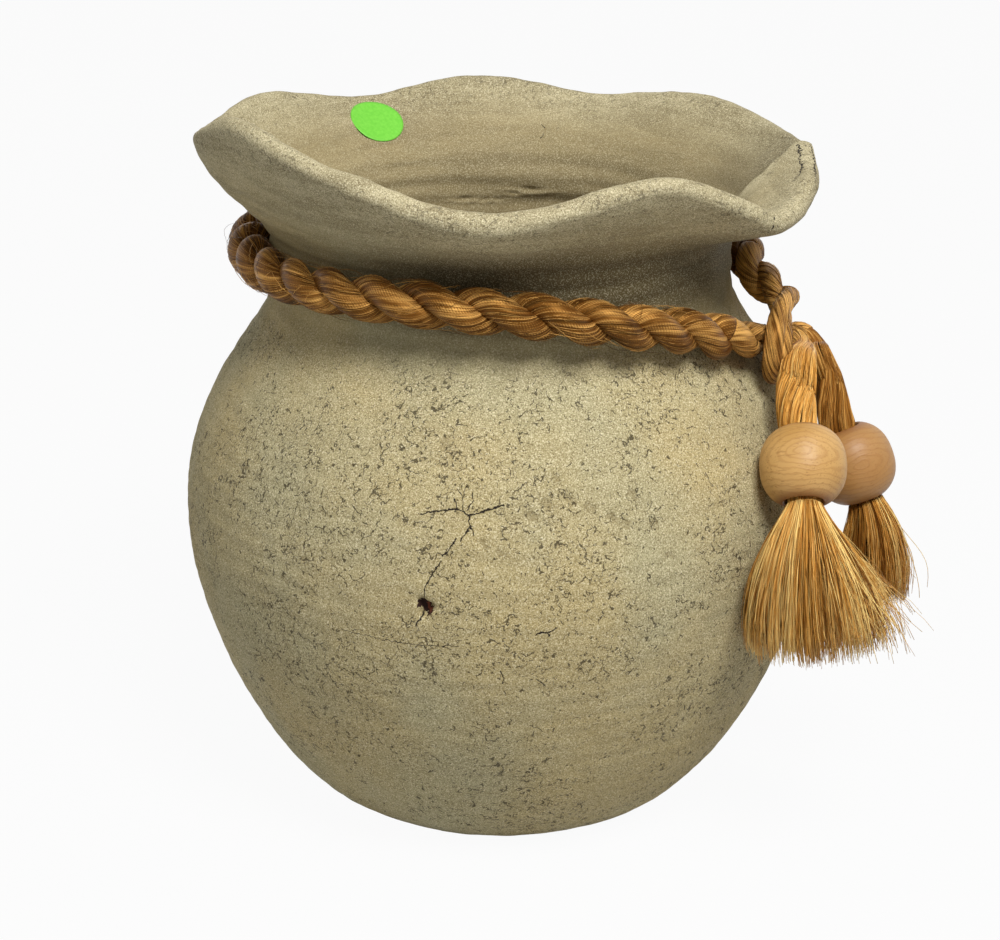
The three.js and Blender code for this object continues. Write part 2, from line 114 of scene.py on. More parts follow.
def flare_line(azimuth, inset, turn, count):
    """The flaring wall from the neck to the lip, on its outer (-90) or inner (90) side."""
    azimuth = np.asarray(azimuth, float)
    lean = np.radians(pinch(azimuth, 3))
    end = lip_point(azimuth, turn)
    start = np.zeros_like(end) + [neck_radius - inset, neck_top]
    back = lip_sweep * np.stack([np.cos(lean), np.sin(lean)], -1)
    return bezier(start, start + [0, flare_sweep], end - back, end, count)


def stepped(low, high, coarse, zones):
    """Numbers from low to high, closer together in zones of (start, end, step)."""
    marks = [low]
    while marks[-1] < high - coarse:
        steps = [step for start, end, step in zones if start < marks[-1] < end]
        marks.append(marks[-1] + min(steps, default=coarse))
    return np.array(marks)


def along(line, marks):
    """Points of a line at these shares of its length, from 0 to 1."""
    steps = np.linalg.norm(np.diff(line, axis=0), axis=1)
    share = np.concatenate([[0], np.cumsum(steps)]) / steps.sum()
    return np.stack([np.interp(marks, share, line[:, k]) for k in range(line.shape[1])], -1)


def swell(points, seed, size, waves=36):
    """A smooth random height over a surface, mostly between -1 and 1, in lumps this size."""
    rng = np.random.default_rng(seed)
    aim = rng.normal(size=(waves, 3))
    aim /= np.linalg.norm(aim, axis=1)[:, None]
    aim *= 2 * np.pi / size * rng.uniform(0.6, 1.7, (waves, 1))
    return np.sin(points @ aim.T + rng.uniform(0, 6.28, waves)).sum(-1) / np.sqrt(waves / 2)


def polar(azimuth, radius, height):
    turn = np.radians(azimuth)
    return np.array([radius * np.cos(turn), radius * np.sin(turn), height])


def mesh_piece(name, points, faces, smooth=True):
    mesh = bpy.data.meshes.new(name)
    faces = faces.tolist() if isinstance(faces, np.ndarray) else faces
    mesh.from_pydata(np.asarray(points).reshape(-1, 3).tolist(), [], faces)
    mesh.polygons.foreach_set("use_smooth", [smooth] * len(mesh.polygons))
    piece = bpy.data.objects.new(name, mesh)
    bpy.context.collection.objects.link(piece)
    return piece


def paint_points(piece, name, values):
    """Keeps a number for each point of a piece, for its material to read."""
    values = np.asarray(values, np.float32)
    kind = "FLOAT_VECTOR" if values.ndim == 2 else "FLOAT"
    attribute = piece.data.attributes.new(name, kind, "POINT")
    attribute.data.foreach_set("vector" if values.ndim == 2 else "value", values.ravel())


def quads(rings, sides):
    """Faces of a skin whose rings of points come one after another."""
    ring, side = np.meshgrid(np.arange(rings - 1), np.arange(sides), indexing="ij")
    a = (ring * sides + side).ravel()
    b = (ring * sides + (side + 1) % sides).ravel()
    return np.stack([a, b, b + sides, a + sides], -1)


# Dents where the belly flaked, as (azimuth in degrees, height, width and depth in millimetres)
dents = [
    (-85.1, 128.9, 3.2, 0.5), (-81.9, 131.7, 3, 0.45), (-78, 132.7, 2.8, 0.5),
    (-74.3, 130, 2.8, 0.4), (-70.6, 126.3, 2.6, 0.45), (-68.5, 124.4, 2.2, 0.3),
    (-80, 138.6, 2.4, 0.35), (-66.3, 132.1, 2.4, 0.35), (-63.1, 123, 2.6, 0.3),
    (-60.8, 112.7, 2.2, 0.3), (-125, 109, 2, 0.3), (-129.4, 101.3, 2, 0.3),
    (-100.7, 147.7, 3.2, 0.3), (-93, 121, 2.2, 0.3), (-90, 118.5, 2.4, 0.3),
]
hole_azimuth, hole_height, hole_width, hole_depth = -102.6, 100.7, 2.1, 3.4

# Gouges inside the neck, which a finger left: azimuth, height, half length, half height and depth
gouges = [
    (81, 188, 5, 0.9, 1.1), (86, 186.5, 2.5, 0.7, 0.7), (101, 184.6, 3.4, 0.8, 0.9),
    (95.5, 184, 2.4, 0.7, 0.8), (91, 184, 2.2, 0.7, 0.5), (118, 199.6, 4, 0.8, 0.8),
    (76, 207.6, 1, 1.6, 0.6), (79.3, 206.4, 0.6, 3.2, 0.6),
]

# The fold of the lip on the right, where a pinch was pressed over: the azimuth of its crease at
# each height, how far its face stands up, and how far its painted shade reaches, in millimetres
fold_heights, fold_azimuths = [202, 204.1, 207.3, 211, 214.6, 217.5], [-14, -11, -7, -4, -0.5, 1.5]
fold_rise, fold_reach = 2.2, 60

# The skin is laid out in rings of points, closer together at the marks: under the base, up the
# outside, round the lip, down the inside and over the floor
turns = stepped(-180, 180, 1.0, [(-128, -55, 0.3), (-42, 14, 0.3), (64, 128, 0.5)])
flare_rings, lip_turns, lip_fade = 38, range(-78, 79, 12), 26
outline = body_outline(0, 0)
inner = body_outline(pot_wall, pot_floor)
heights = stepped(0, 1, 0.0055, [(0.50, 0.76, 0.0024)])
outside = along(outline, np.append(heights, 1))
inside = along(inner, np.concatenate([np.linspace(1, 0.89, 40), np.linspace(0.885, 0, 76)]))
floor_radii = np.linspace(inside[-1, 0], 0.002, 14)[1:]
under_radii = np.linspace(0.002, base_radius, 12)[:-1]


def round_rings(section):
    return np.repeat(np.asarray(section)[:, None, :], len(turns), axis=1)


section = np.concatenate([
    round_rings([(radius, 0) for radius in under_radii]),
    round_rings(outside),
    flare_line(turns, 0, -90, flare_rings)[1:],
    np.stack([lip_point(turns, turn) for turn in lip_turns]),
    flare_line(turns, pot_wall, 90, 64)[::-1],
    round_rings(inside[1:]),
    round_rings([(radius, pot_floor) for radius in floor_radii]),
])
angle = np.radians(turns)[None, :]
skin = np.stack([section[..., 0] * np.cos(angle), section[..., 0] * np.sin(angle),
                 section[..., 1]], -1)
round_step = np.roll(skin, -1, 1) - np.roll(skin, 1, 1)
normal = np.cross(round_step, np.gradient(skin, axis=0))
normal /= np.linalg.norm(normal, axis=-1)[..., None] + 1e-12

flat = skin.reshape(-1, 3)
radius = np.hypot(flat[:, 0], flat[:, 1])
height = flat[:, 2]
lip_share = np.zeros(skin.shape[:2])
first_lip = len(under_radii) + len(outside) + flare_rings - 1
last_lip = first_lip + len(lip_turns)
lip_share[first_lip:last_lip] = 1
lip_share[first_lip - lip_fade:first_lip] = np.linspace(0, 1, lip_fade)[:, None]
lip_share[last_lip:last_lip + lip_fade] = np.linspace(1, 0, lip_fade)[:, None]
inside_share = np.zeros(skin.shape[:2])
inside_share[first_lip + len(lip_turns) // 2 + 1:] = 1
lip_share, inside_share = lip_share.ravel(), inside_share.ravel()

# How far each point stands off the plain skin: swells, throwing ridges, dents, gouges, the fold
# and the hole
height_mm, belly_mm = height * 1000, belly_radius * 1000
rise = 0.00015 * swell(flat, 3, 0.05) + 0.00006 * swell(flat, 4, 0.012)
ridge = np.sin(height * 2 * np.pi / 0.0062 + 1.2 * swell(flat, 5, 0.09))
flaring = np.clip((height - 0.165) / 0.02, 0, 1) * (1 - lip_share)
rise += 0.00022 * ridge * flaring + 0.00007 * ridge * (1 - flaring)
upper_inside = inside_share * np.clip((height - 0.15) / 0.02, 0, 1)
rise += 0.00022 * swell(flat * [0.3, 0.3, 1], 8, 0.014) * upper_inside
rise += lip_share ** 3 * (0.00007 * swell(flat, 6, 0.014) + 0.00002 * swell(flat, 7, 0.005))
azimuth = np.degrees(np.arctan2(flat[:, 1], flat[:, 0]))
outer_belly = (inside_share == 0) & (height > 0.02) & (height < 0.18)
for dent_azimuth, dent_height, width, depth in dents:
    across = np.radians(azimuth - dent_azimuth) * belly_mm
    away = np.hypot(across, height_mm - dent_height) / width
    hollow = np.exp(-2.5 * away ** 2) - 0.35 * np.exp(-2.5 * (away - 1.1) ** 2)
    rise -= outer_belly * depth / 1000 * hollow
for gouge_azimuth, gouge_height, long, high, depth in gouges:
    across = np.radians(azimuth - gouge_azimuth) * radius * 1000 / long
    away = np.hypot(across, (height_mm - gouge_height) / high)
    burr = 0.4 * np.exp(-2 * (away - 1.5) ** 2) * (height_mm < gouge_height)
    rise -= (inside_share == 1) * depth / 1000 * (np.exp(-1.6 * away ** 2) - burr)
crease = np.interp(height_mm, fold_heights, fold_azimuths)
past = np.radians(azimuth - crease) * radius * 1000
folded = (inside_share == 1) * np.clip((height - 0.201) / 0.004, 0, 1) * (np.abs(past) < fold_reach)
# The fold's face stands up, and its number on the points also paints it paler, as painted light
fold_face = folded * np.where(past < 0, np.exp(past / 15) * np.clip(-past / 1.2, 0, 1), 0)
# Painted shade on the inner wall beside the fold, fading away from the crease
fold_shade = folded * np.where(past < 0, 0, np.clip(1 - past / fold_reach, 0, 1) ** 1.3)
rise += fold_rise / 1000 * fold_face - folded * 0.0006 * np.exp(-((past - 0.6) / 1.0) ** 2)
across = np.radians(azimuth - hole_azimuth) * belly_mm
wobble = 1 + 0.25 * np.sin(3 * np.arctan2(height_mm - hole_height, across) + 1)
away = np.hypot(across, (height_mm - hole_height) * 0.85) / (hole_width * wobble)
rise -= outer_belly * hole_depth / 1000 / (1 + away ** 6)
hole_share = outer_belly / (1 + (away / 1.05) ** 8)
stays = (height < 0.0005) | ((inside_share == 1) & (height < pot_floor + 0.0005))
rise[stays] = 0
skin = (flat + normal.reshape(-1, 3) * rise[:, None]).reshape(skin.shape)

rings, sides = skin.shape[:2]
faces = quads(rings, sides).tolist()
faces.append(list(range(sides))[::-1])
faces.append([(rings - 1) * sides + side for side in range(sides)])
pot = mesh_piece("pot_body", skin, faces)
for name, values in (("lip", lip_share), ("inside", inside_share), ("hole", hole_share),
                     ("fold", fold_face), ("shade", fold_shade)):
    paint_points(pot, name, values)


def tone(red, green, blue):
    """A colour as it was read off the photograph, 0 to 255, for a shader."""
    share = np.array([red, green, blue]) / 255
    linear = np.where(share < 0.04045, share / 12.92, ((share + 0.055) / 1.055) ** 2.4)
    return (*linear.tolist(), 1)


def node(tree, kind, inputs=None, **settings):
    made = tree.nodes.new("ShaderNode" + kind)
    for name, value in settings.items():
        setattr(made, name, value)
    for socket, value in (inputs or {}).items():
        if isinstance(value, bpy.types.NodeSocket):
            tree.links.new(value, made.inputs[socket])
        else:
            made.inputs[socket].default_value = value
    return made


def tree_of(*values):
    """The node tree that holds the linked ones of these values."""
    return next(value.id_data for value in values if isinstance(value, bpy.types.NodeSocket))


def sum_up(operation, a, b=0.0, clamp=False):
    made = node(tree_of(a, b), "Math", {0: a, 1: b}, operation=operation, use_clamp=clamp)
    return made.outputs[0]


def times(a, b, clamp=False):
    return sum_up("MULTIPLY", a, b, clamp)


def plus(a, b, clamp=False):
    return sum_up("ADD", a, b, clamp)


def minus(a, b):
    return sum_up("SUBTRACT", a, b)


def greater(a, b):
    return sum_up("MAXIMUM", a, b)


def vector_sum(operation, a, b=(0, 0, 0)):
    """A number for a length, a distance or a dot product, and a vector for the rest."""
    second = "Scale" if operation == "SCALE" else 1
    made = node(tree_of(a, b), "VectorMath", {0: a, second: b}, operation=operation)
    gives_number = operation in ("LENGTH", "DISTANCE", "DOT_PRODUCT")
    return made.outputs["Value" if gives_number else "Vector"]


def step_up(value, low, high):
    """0 below low and 1 above high, or the other way round, with a soft step between them."""
    made = node(tree_of(value), "MapRange", {"Value": value, "From Min": low, "From Max": high},
                interpolation_type="SMOOTHSTEP")
    return made.outputs["Result"]


def between(value, low, high):
    """A value of 0 to 1, spread from low to high."""
    made = node(tree_of(value), "MapRange", {"Value": value, "To Min": low, "To Max": high})
    return made.outputs["Result"]


def noise(place, scale, detail=2.0, rough=0.5, output="Fac"):
    made = node(tree_of(place), "TexNoise", {"Vector": place, "Scale": scale, "Detail": detail,
                                             "Roughness": rough})
    return made.outputs[output]


def push(place, scale, reach):
    """A random push, mostly within a quarter of this reach each way."""
    pushed = vector_sum("SUBTRACT", noise(place, scale, output="Color"), (0.5, 0.5, 0.5))
    return vector_sum("SCALE", pushed, reach)


def blend_tones(share, a, b):
    made = node(tree_of(share), "Mix", {"Factor": share, "A": a, "B": b}, data_type="RGBA")
    return made.outputs["Result"]


def painted(tree, name, output="Fac"):
    """What paint_points kept on a piece under this name."""
    return node(tree, "Attribute", attribute_name=name).outputs[output]


def new_finish(name):
    """A material with its shader, ready to be linked up."""
    finish = bpy.data.materials.new(name)
    finish.use_nodes = True
    return finish, finish.node_tree, finish.node_tree.nodes["Principled BSDF"]


def link_up(shader, colour, relief, strength, depth, roughness=None):
    """Gives a shader its colour, relief of this strength and depth, and uneven roughness."""
    tree = shader.id_data
    bump = node(tree, "Bump", {"Strength": strength, "Distance": depth, "Height": relief})
    tree.links.new(colour, shader.inputs["Base Color"])
    tree.links.new(bump.outputs["Normal"], shader.inputs["Normal"])
    if roughness is not None:
        tree.links.new(roughness, shader.inputs["Roughness"])


fired_clay, tree, shader = new_finish("fired_clay")
place = node(tree, "TexCoord").outputs["Object"]
lip_part, inside_part, hole_part, fold_part, shade_part = (
    painted(tree, name) for name in ("lip", "inside", "hole", "fold", "shade"))
rightward, backward, up = node(tree, "SeparateXYZ", {"Vector": place}).outputs
outside_part = minus(1.0, inside_part)
patches = step_up(noise(place, 16, 3), 0.35, 0.65)
clay = blend_tones(patches, tone(180, 171, 131), tone(195, 175, 122))
# The inside has a warmer, darker tone, partly its own and partly painted shade of the hollow
clay = blend_tones(inside_part, clay, tone(168, 151, 110))
# The lip has a paler tone, and the face of the fold is painted paler too, as painted light
worn_lip_and_lit_fold = greater(lip_part, times(fold_part, 1.2, clamp=True))
clay = blend_tones(worn_lip_and_lit_fold, clay, tone(200, 188, 150))
# Painted shade on the inner wall beside the fold
clay = blend_tones(times(shade_part, 0.85), clay, tone(88, 77, 50))
mottle = step_up(noise(place, 130, 4, 0.6), 0.3, 0.7)
clay = blend_tones(times(mottle, 0.3), clay, tone(162, 148, 108))

# The belly is rough and crackled; the neck, the flare and the inside were smoothed with a wet hand
rough_part = times(step_up(up, 0.176, 0.16), outside_part)

# The turning of the wheel left bands that are drawn out round the pot, and the neck under the
# flare is painted darker, as painted shade of the flare over it, most of it in front and on the right
round_pot = vector_sum("MULTIPLY", place, (0.12, 0.12, 1))
broad_bands = step_up(noise(round_pot, 150), 0.42, 0.62)
fine_bands = step_up(noise(round_pot, 800, 3, 0.6), 0.45, 0.6)
bands = plus(times(broad_bands, 0.7), times(fine_bands, 0.4), clamp=True)
band_depth = plus(times(step_up(up, 0.17, 0.2), 0.42), 0.14)
clay = blend_tones(times(bands, band_depth), clay, tone(132, 118, 84))
# Painted shade under the flare, strongest in front and on the right and weaker inside
neck_part = times(step_up(up, 0.168, 0.186), step_up(up, 0.212, 0.196))
painted_flare_shade = plus(times(step_up(rightward, -0.06, -0.01), 0.9), 0.05)
painted_flare_shade = times(painted_flare_shade, minus(1.0, times(inside_part, 0.62)))
clay = blend_tones(times(neck_part, painted_flare_shade), clay, tone(82, 70, 42))
grain = noise(place, 2300, 3, 0.75)
grain_part = plus(times(greater(rough_part, lip_part), 0.45), 0.5)
clay = blend_tones(times(step_up(grain, 0.49, 0.68), grain_part), clay, tone(240, 230, 194))
clay = blend_tones(times(step_up(grain, 0.5, 0.3), grain_part), clay, tone(100, 86, 54))

# Crackle: short dark hairlines of three sizes, as (cells in a metre, width, greatest length), and
# dark specks. Each hairline is the cut of a small disc with the surface
hairlines = [(190, 0.00027, 0.0038), (400, 0.00022, 0.0018), (700, 0.00018, 0.0009)]
pushed = vector_sum("ADD", place, push(place, 420, 0.005))
sparse = plus(times(step_up(noise(place, 40), 0.36, 0.6), 0.6), 0.4)
hairline = 0.0
for scale, width, longest in hairlines:
    cells = node(tree, "TexVoronoi", {"Vector": pushed, "Scale": scale}, feature="F1")
    from_middle = vector_sum("SUBTRACT", pushed, cells.outputs["Position"])
    lean = vector_sum("SUBTRACT", cells.outputs["Color"], (0.5, 0.5, 0.5))
    lean = vector_sum("NORMALIZE", lean)
    aside = sum_up("ABSOLUTE", vector_sum("DOT_PRODUCT", from_middle, lean))
    own = node(tree, "SeparateColor", {"Color": cells.outputs["Color"]}).outputs["Green"]
    beyond = minus(vector_sum("LENGTH", from_middle), times(times(own, sparse), longest))
    line = times(step_up(aside, width, width * 0.45), step_up(beyond, 0.0001, -0.0002))
    hairline = greater(line, hairline)
specks = node(tree, "TexVoronoi", {"Vector": pushed, "Scale": 420}, feature="F1")
chosen = node(tree, "SeparateColor", {"Color": specks.outputs["Color"]}).outputs["Red"]
speck_size = times(step_up(chosen, 0.93, 1), 0.18)
speck = step_up(minus(specks.outputs["Distance"], speck_size), 0.0, -0.05)
speck = times(speck, plus(times(rough_part, 0.3), 0.6))
crackled = greater(rough_part, times(worn_lip_and_lit_fold, 0.6))
marks = greater(times(hairline, crackled), speck)

# The belly's star-shaped crack, the crack that runs down from it, and the smaller ones, drawn on
# the unrolled belly as lines of (azimuth in degrees, height in millimetres)
cracks = [
    (0.32, [(-104, 128.6), (-100.7, 129.8), (-98, 130.6), (-96.6, 130.2), (-95.7, 128.9)]),
    (0.3, [(-95.7, 128.9), (-93.4, 130.1), (-89.7, 132.1)]),
    (0.28, [(-95.7, 128.9), (-95.4, 126.1), (-95.9, 124.2), (-96.9, 121.9)]),
    (0.16, [(-96.6, 130.2), (-96.8, 134), (-96.3, 137.3)]),
    (0.2, [(-97.6, 122.2), (-98.6, 119.6), (-99.8, 117)]),
    (0.2, [(-100, 115.5), (-101.4, 112), (-102.6, 107), (-102.8, 103.5)]),
    (0.3, [(-103.1, 98.7), (-103.5, 96.4), (-104.3, 94.6)]),
    (0.28, [(-84.3, 92.6), (-83.6, 93.6), (-82.2, 93.5), (-81, 94.6)]),
    (0.2, [(-82.4, 93.5), (-82.2, 92)]),
    (0.2, [(-90.3, 80.5), (-89.6, 78), (-89.8, 76)]),
    (0.22, [(-84, 77), (-83, 75.6), (-82.6, 74.6)]),
    (0.2, [(-97.6, 130.8), (-98.3, 133.4)]), (0.16, [(-96.7, 133.5), (-97.9, 136)]),
    (0.18, [(-95.9, 130.6), (-94.9, 133.4), (-95.2, 135)]), (0.2, [(-95.3, 126), (-94.6, 123.6)]),
    (0.14, [(-118, 89.4), (-111, 88.6), (-104, 88.2), (-97, 88.8)]),
]
turned = sum_up("ARCTAN2", backward, rightward)
unrolled = node(tree, "CombineXYZ", {"X": times(turned, belly_radius), "Y": up}).outputs[0]
jag = vector_sum("MULTIPLY", push(place, 700, 0.0016), (1, 1, 0))
drawn = vector_sum("ADD", unrolled, jag)


def strokes(place, lines, edge=0.64):
    """1 along some lines of points, each line with a width in millimetres, and 0 elsewhere. The
    edge is the share of the width that is soft."""
    drawn_lines = 0.0
    for width, spots in lines:
        half = width * 0.0011
        for start, end in zip(spots, spots[1:]):
            reach = end - start
            from_start = vector_sum("SUBTRACT", place, start.tolist())
            part = vector_sum("DOT_PRODUCT", from_start, (reach / (reach @ reach)).tolist())
            part = node(tree_of(place), "Clamp", {"Value": part}).outputs[0]
            gap = vector_sum("DISTANCE", from_start, vector_sum("SCALE", reach.tolist(), part))
            drawn_lines = greater(step_up(gap, half, half * (1 - edge)), drawn_lines)
    return drawn_lines


def on_belly(turn, up_mm):
    return np.array([np.radians(turn) * belly_radius, up_mm / 1000, 0])


def belly_strokes(place, lines, edge=0.64):
    """Strokes whose lines are given on the unrolled belly, as the cracks are."""
    spots = [(width, [on_belly(*spot) for spot in line]) for width, line in lines]
    return strokes(place, spots, edge)


front = step_up(backward, 0.0, -0.02)
crack = times(belly_strokes(drawn, cracks), times(front, outside_part))

# Cracks on the face of the fold, drawn like those of the belly
face_cracks = [
    (0.2, [(-1, 219), (-6, 217.4), (-13, 215.4), (-18, 213.8)]),
    (0.2, [(-13, 215.4), (-13.5, 216.6), (-12.4, 217.6)]),
    (0.15, [(-6, 217.4), (-7.5, 218.6)]), (0.18, [(-22, 211), (-24, 211.8)]),
]
face_crack = times(belly_strokes(drawn, face_cracks), step_up(fold_part, 0.1, 0.25))
crack = greater(crack, face_crack)

# A short crack and scratches inside the mouth, as (azimuth, radius, height)
scratches = [
    (0.5, [(-38, 102.6, 207.1), (-37.5, 102.7, 210.4)]),
    (0.3, [(79.6, 79.5, 208), (78.8, 78.4, 207)]), (0.3, [(78.9, 76.4, 205.4), (79.5, 75, 204.2)]),
    (0.4, [(76.4, 79.8, 208.2), (75.6, 79, 207.4)]), (0.35, [(77.6, 78.8, 207.2), (77, 78, 206.4)]),
    (0.3, [(83, 77, 205.8), (81.6, 76.6, 205.6)]), (0.35, [(-71, 95, 218.6), (-70, 95.6, 217.4)]),
]
scratch_lines = [(width, [polar(*spot) / 1000 for spot in line]) for width, line in scratches]
crack = greater(crack, strokes(vector_sum("ADD", place, jag), scratch_lines))

# Small flakes that came off the belly, with a ragged edge
torn = vector_sum("ADD", unrolled, vector_sum("SCALE", jag, 3.0))
front_belly = times(front, rough_part)
flakes = belly_strokes(torn, [
    (width * 0.4, [(turn - 0.5, up_mm + 0.6), (turn + 0.5, up_mm - 0.6)])
    for turn, up_mm, width, depth in dents], 0.2)
flakes = times(flakes, front_belly)
clay = blend_tones(times(flakes, 0.38), clay, tone(128, 112, 74))
clay = blend_tones(times(marks, 0.82), clay, tone(54, 44, 26))
clay = blend_tones(crack, clay, tone(34, 26, 18))

# The small hole, painted dark as painted shade inside it, with a reddish bottom
hole_painted_shade = times(belly_strokes(torn, [(1.7, [(-103, 101.6), (-102.3, 99.9)])], 0.15), front_belly)
clay = blend_tones(hole_painted_shade, clay, tone(44, 22, 14))
bottom = belly_strokes(torn, [(0.8, [(-102.2, 100.6), (-101.9, 99.6)])], 0.5)
clay = blend_tones(times(bottom, times(hole_part, hole_painted_shade)), clay, tone(124, 66, 42))
relief = plus(times(times(grain, 0.4), grain_part), times(mottle, 0.3))
relief = minus(relief, times(marks, 0.5))
relief = minus(relief, times(flakes, 1.8))
relief = minus(relief, crack)
worn = step_up(noise(place, 60, 3), 0.3, 0.7)
link_up(shader, clay, relief, 0.55, 0.0005, between(worn, 0.72, 0.9))
shader.inputs["Specular IOR Level"].default_value = 0.3
pot.data.materials.append(fired_clay)
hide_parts("pot")
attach(pot, "vessel")


# Price dot. A plain round label of bright green paper, pressed onto the inside of the flare a
# little below the lip, so that it bends with the wall.
dot_width, dot_azimuth, dot_drop, dot_lift, dot_paper = 0.019, 121.5, 0.007, 0.0004, 0.0002
dot_sides, dot_rings = 48, 12
shares = np.concatenate([np.linspace(0.02, 1, dot_rings), [1.0, 0.9]])
lifts = np.concatenate([np.full(dot_rings, dot_lift + dot_paper), [dot_lift, dot_lift]])


def unit(vectors):
    return vectors / np.linalg.norm(vectors, axis=-1, keepdims=True)


def distances(line):
    """How far along a line each of its points lies."""
    return np.concatenate([[0], np.cumsum(np.linalg.norm(np.diff(line, axis=0), axis=1))])


def inner_wall(azimuth):
    """(radius, height) up the inside of the flare, from the neck to the lip."""
    return flare_line(np.array([azimuth]), pot_wall, 90, 160)[:, 0]


wall = inner_wall(dot_azimuth)
top = lip_point(np.array(dot_azimuth), 0)[1]
dot_radius = np.interp(top - dot_drop, wall[:, 1], wall[:, 0])
dot_height = rim_height + pinch(dot_azimuth, 1) / 1000 - dot_drop
dot_points = []
for share, lift in zip(shares, lifts):
    reach = share * dot_width / 2
    for turn in 2 * np.pi * np.arange(dot_sides) / dot_sides:
        azimuth = dot_azimuth + np.degrees(reach * np.cos(turn) / dot_radius)
        wall = inner_wall(azimuth)
        steps = distances(wall)
        at = np.interp(dot_height, wall[:, 1], steps) + reach * np.sin(turn)
        spot, above = (np.array([np.interp(far, steps, wall[:, k]) for k in (0, 1)])
                       for far in (at, at + 0.0005))
        slope = unit(above - spot)
        dot_points.append(polar(azimuth, *(spot + lift * np.array([-slope[1], slope[0]]))))
faces = quads(len(shares), dot_sides).tolist() + [list(range(dot_sides))[::-1]]
price_dot = mesh_piece("price_dot", dot_points, faces)
green_paper, tree, shader = new_finish("green_paper")
fibres = noise(node(tree, "TexCoord").outputs["Object"], 900, 4, 0.6)
paper = blend_tones(step_up(fibres, 0.3, 0.7), tone(110, 206, 54), tone(126, 216, 68))
link_up(shader, paper, fibres, 0.15, 0.0002, between(fibres, 0.5, 0.62))
price_dot.data.materials.append(green_paper)
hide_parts("price_sticker")
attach(price_dot, "vessel")


# Rope round the neck. Two strands of glossy golden-brown plant fibre, laid up loosely, go once
# round below the flare. Fine loose hairs stand off it.
strand_radius, strand_offset, rope_pitch, fibre_twist = 0.00415, 0.0029, 0.0337, 168.0
rope_reach, rope_over, rope_surface, strand_gap = 0.00692 + 0.0004, 0.0041 + 0.0003, 0.0066, 0.00004
strand_sides, strand_step, fibre_steps, loose_hairs = 96, 0.0006, 14, 420
lay_at_20 = -1.12  # how far the strands have turned round each other at an azimuth of 20 degrees

# The rope's way round the neck, as (azimuth, millimetres below the top of the neck)
rope_route = [
    (-2, 13.2), (2, 12.5), (20, 10), (45, 7), (75, 5), (105, 3.8), (135, 3), (165, 3), (199, 3),
    (213, 2.8), (227.5, 2.2), (240.5, 2), (253, 2), (265, 3), (278.5, 5), (289, 7.7), (303, 12.4),
    (314, 16), (320, 18.8), (327, 22.2), (331.5, 24.2),
]


def stand_off(height, ball):
    """Radius at which a ball at this height just touches the outside of the pot."""
    rise = outline[:, 1] - height
    near = np.abs(rise) < ball
    return (outline[near, 0] + np.sqrt(ball ** 2 - rise[near] ** 2)).max()


def smooth_line(points, count):
    """A smooth curve through points, as count points at even steps."""
    points = np.asarray(points, float)
    ends = np.vstack([2 * points[0] - points[1], points, 2 * points[-1] - points[-2]])
    t = np.linspace(0, 1, 24, endpoint=False)[:, None]
    pieces = []
    for a, b, c, d in zip(ends, ends[1:], ends[2:], ends[3:]):
        pieces.append(0.5 * (2 * b + (c - a) * t + (2 * a - 5 * b + 4 * c - d) * t ** 2
                             + (3 * b - a - 3 * c + d) * t ** 3))
    line = np.vstack(pieces + [points[-1:]])
    return along(line, np.linspace(0, 1, count))


def line_length(line):
    return float(np.linalg.norm(np.diff(line, axis=0), axis=1).sum())


def line_axes(line, first):
    """Directions along a line and two across it, which turn with it as little as they can."""
    forward = unit(np.gradient(line, axis=0))
    across = np.zeros_like(line)
    held = np.asarray(first, float)
    for i, ahead in enumerate(forward):
        held = held - ahead * (held @ ahead)
        held = held / np.linalg.norm(held)
        across[i] = held
    return forward, across, np.cross(forward, across)


def fibre_ridges(turn, place, count, seed):
    """Height of the fibres round a strand, mostly between -1 and 1, wandering as they run."""
    rng = np.random.default_rng(seed)
    height = np.zeros(np.broadcast(turn, place).shape)
    for beats in rng.integers(count // 2, count, 9):
        drift = rng.uniform(-60, 60) + 0.6 * np.sin(place * rng.uniform(60, 200) + rng.uniform(0, 6))
        height += np.sin(beats * turn + drift * place * 4 + rng.uniform(0, 6.28))
    return height / 3


def keep_side(points, line, core):
    """Flattens a strand where it presses on its neighbour, halfway between them at the core."""
    inward = core - line
    limit = np.linalg.norm(inward, axis=-1, keepdims=True)
    inward = inward / limit
    over = ((points - line[:, None]) * inward[:, None]).sum(-1, keepdims=True)
    over = over - (limit[:, None] - strand_gap)
    return points - np.maximum(over, 0) * inward[:, None]


def strand(name, line, core, radius, first, seed, sides=strand_sides, tone_with_painted_light=0.5):
    """A bundle of fibres along a line, whose radius may change along it."""
    forward, across, upward = line_axes(line, first)
    place = distances(line)[:, None]
    turn = np.linspace(0, 2 * np.pi, sides, endpoint=False)[None, :]
    radius = np.broadcast_to(radius, (len(line),))[:, None]
    fibre_turn = turn + fibre_twist * place
    ridges = fibre_ridges(fibre_turn, place, count=40, seed=seed)
    ridges = ridges + 0.7 * fibre_ridges(fibre_turn, place, count=14, seed=seed + 1)
    reach = radius + 0.00009 * ridges
    points = (line[:, None, :] + across[:, None, :] * (reach * np.cos(turn))[..., None]
              + upward[:, None, :] * (reach * np.sin(turn))[..., None])
    points = keep_side(points, line, core)
    faces = quads(len(line), sides).tolist()
    faces += [list(range(sides))[::-1], [(len(line) - 1) * sides + side for side in range(sides)]]
    piece = mesh_piece(name, points, faces)
    lay = np.stack([np.cos(fibre_turn) * radius, np.sin(fibre_turn) * radius,
                    np.broadcast_to(place, fibre_turn.shape) + seed * 0.37], -1)
    paint_points(piece, "lay", lay.reshape(-1, 3))
    paint_points(piece, "tone", tone_with_painted_light + 0.15 * ridges.ravel())
    return piece


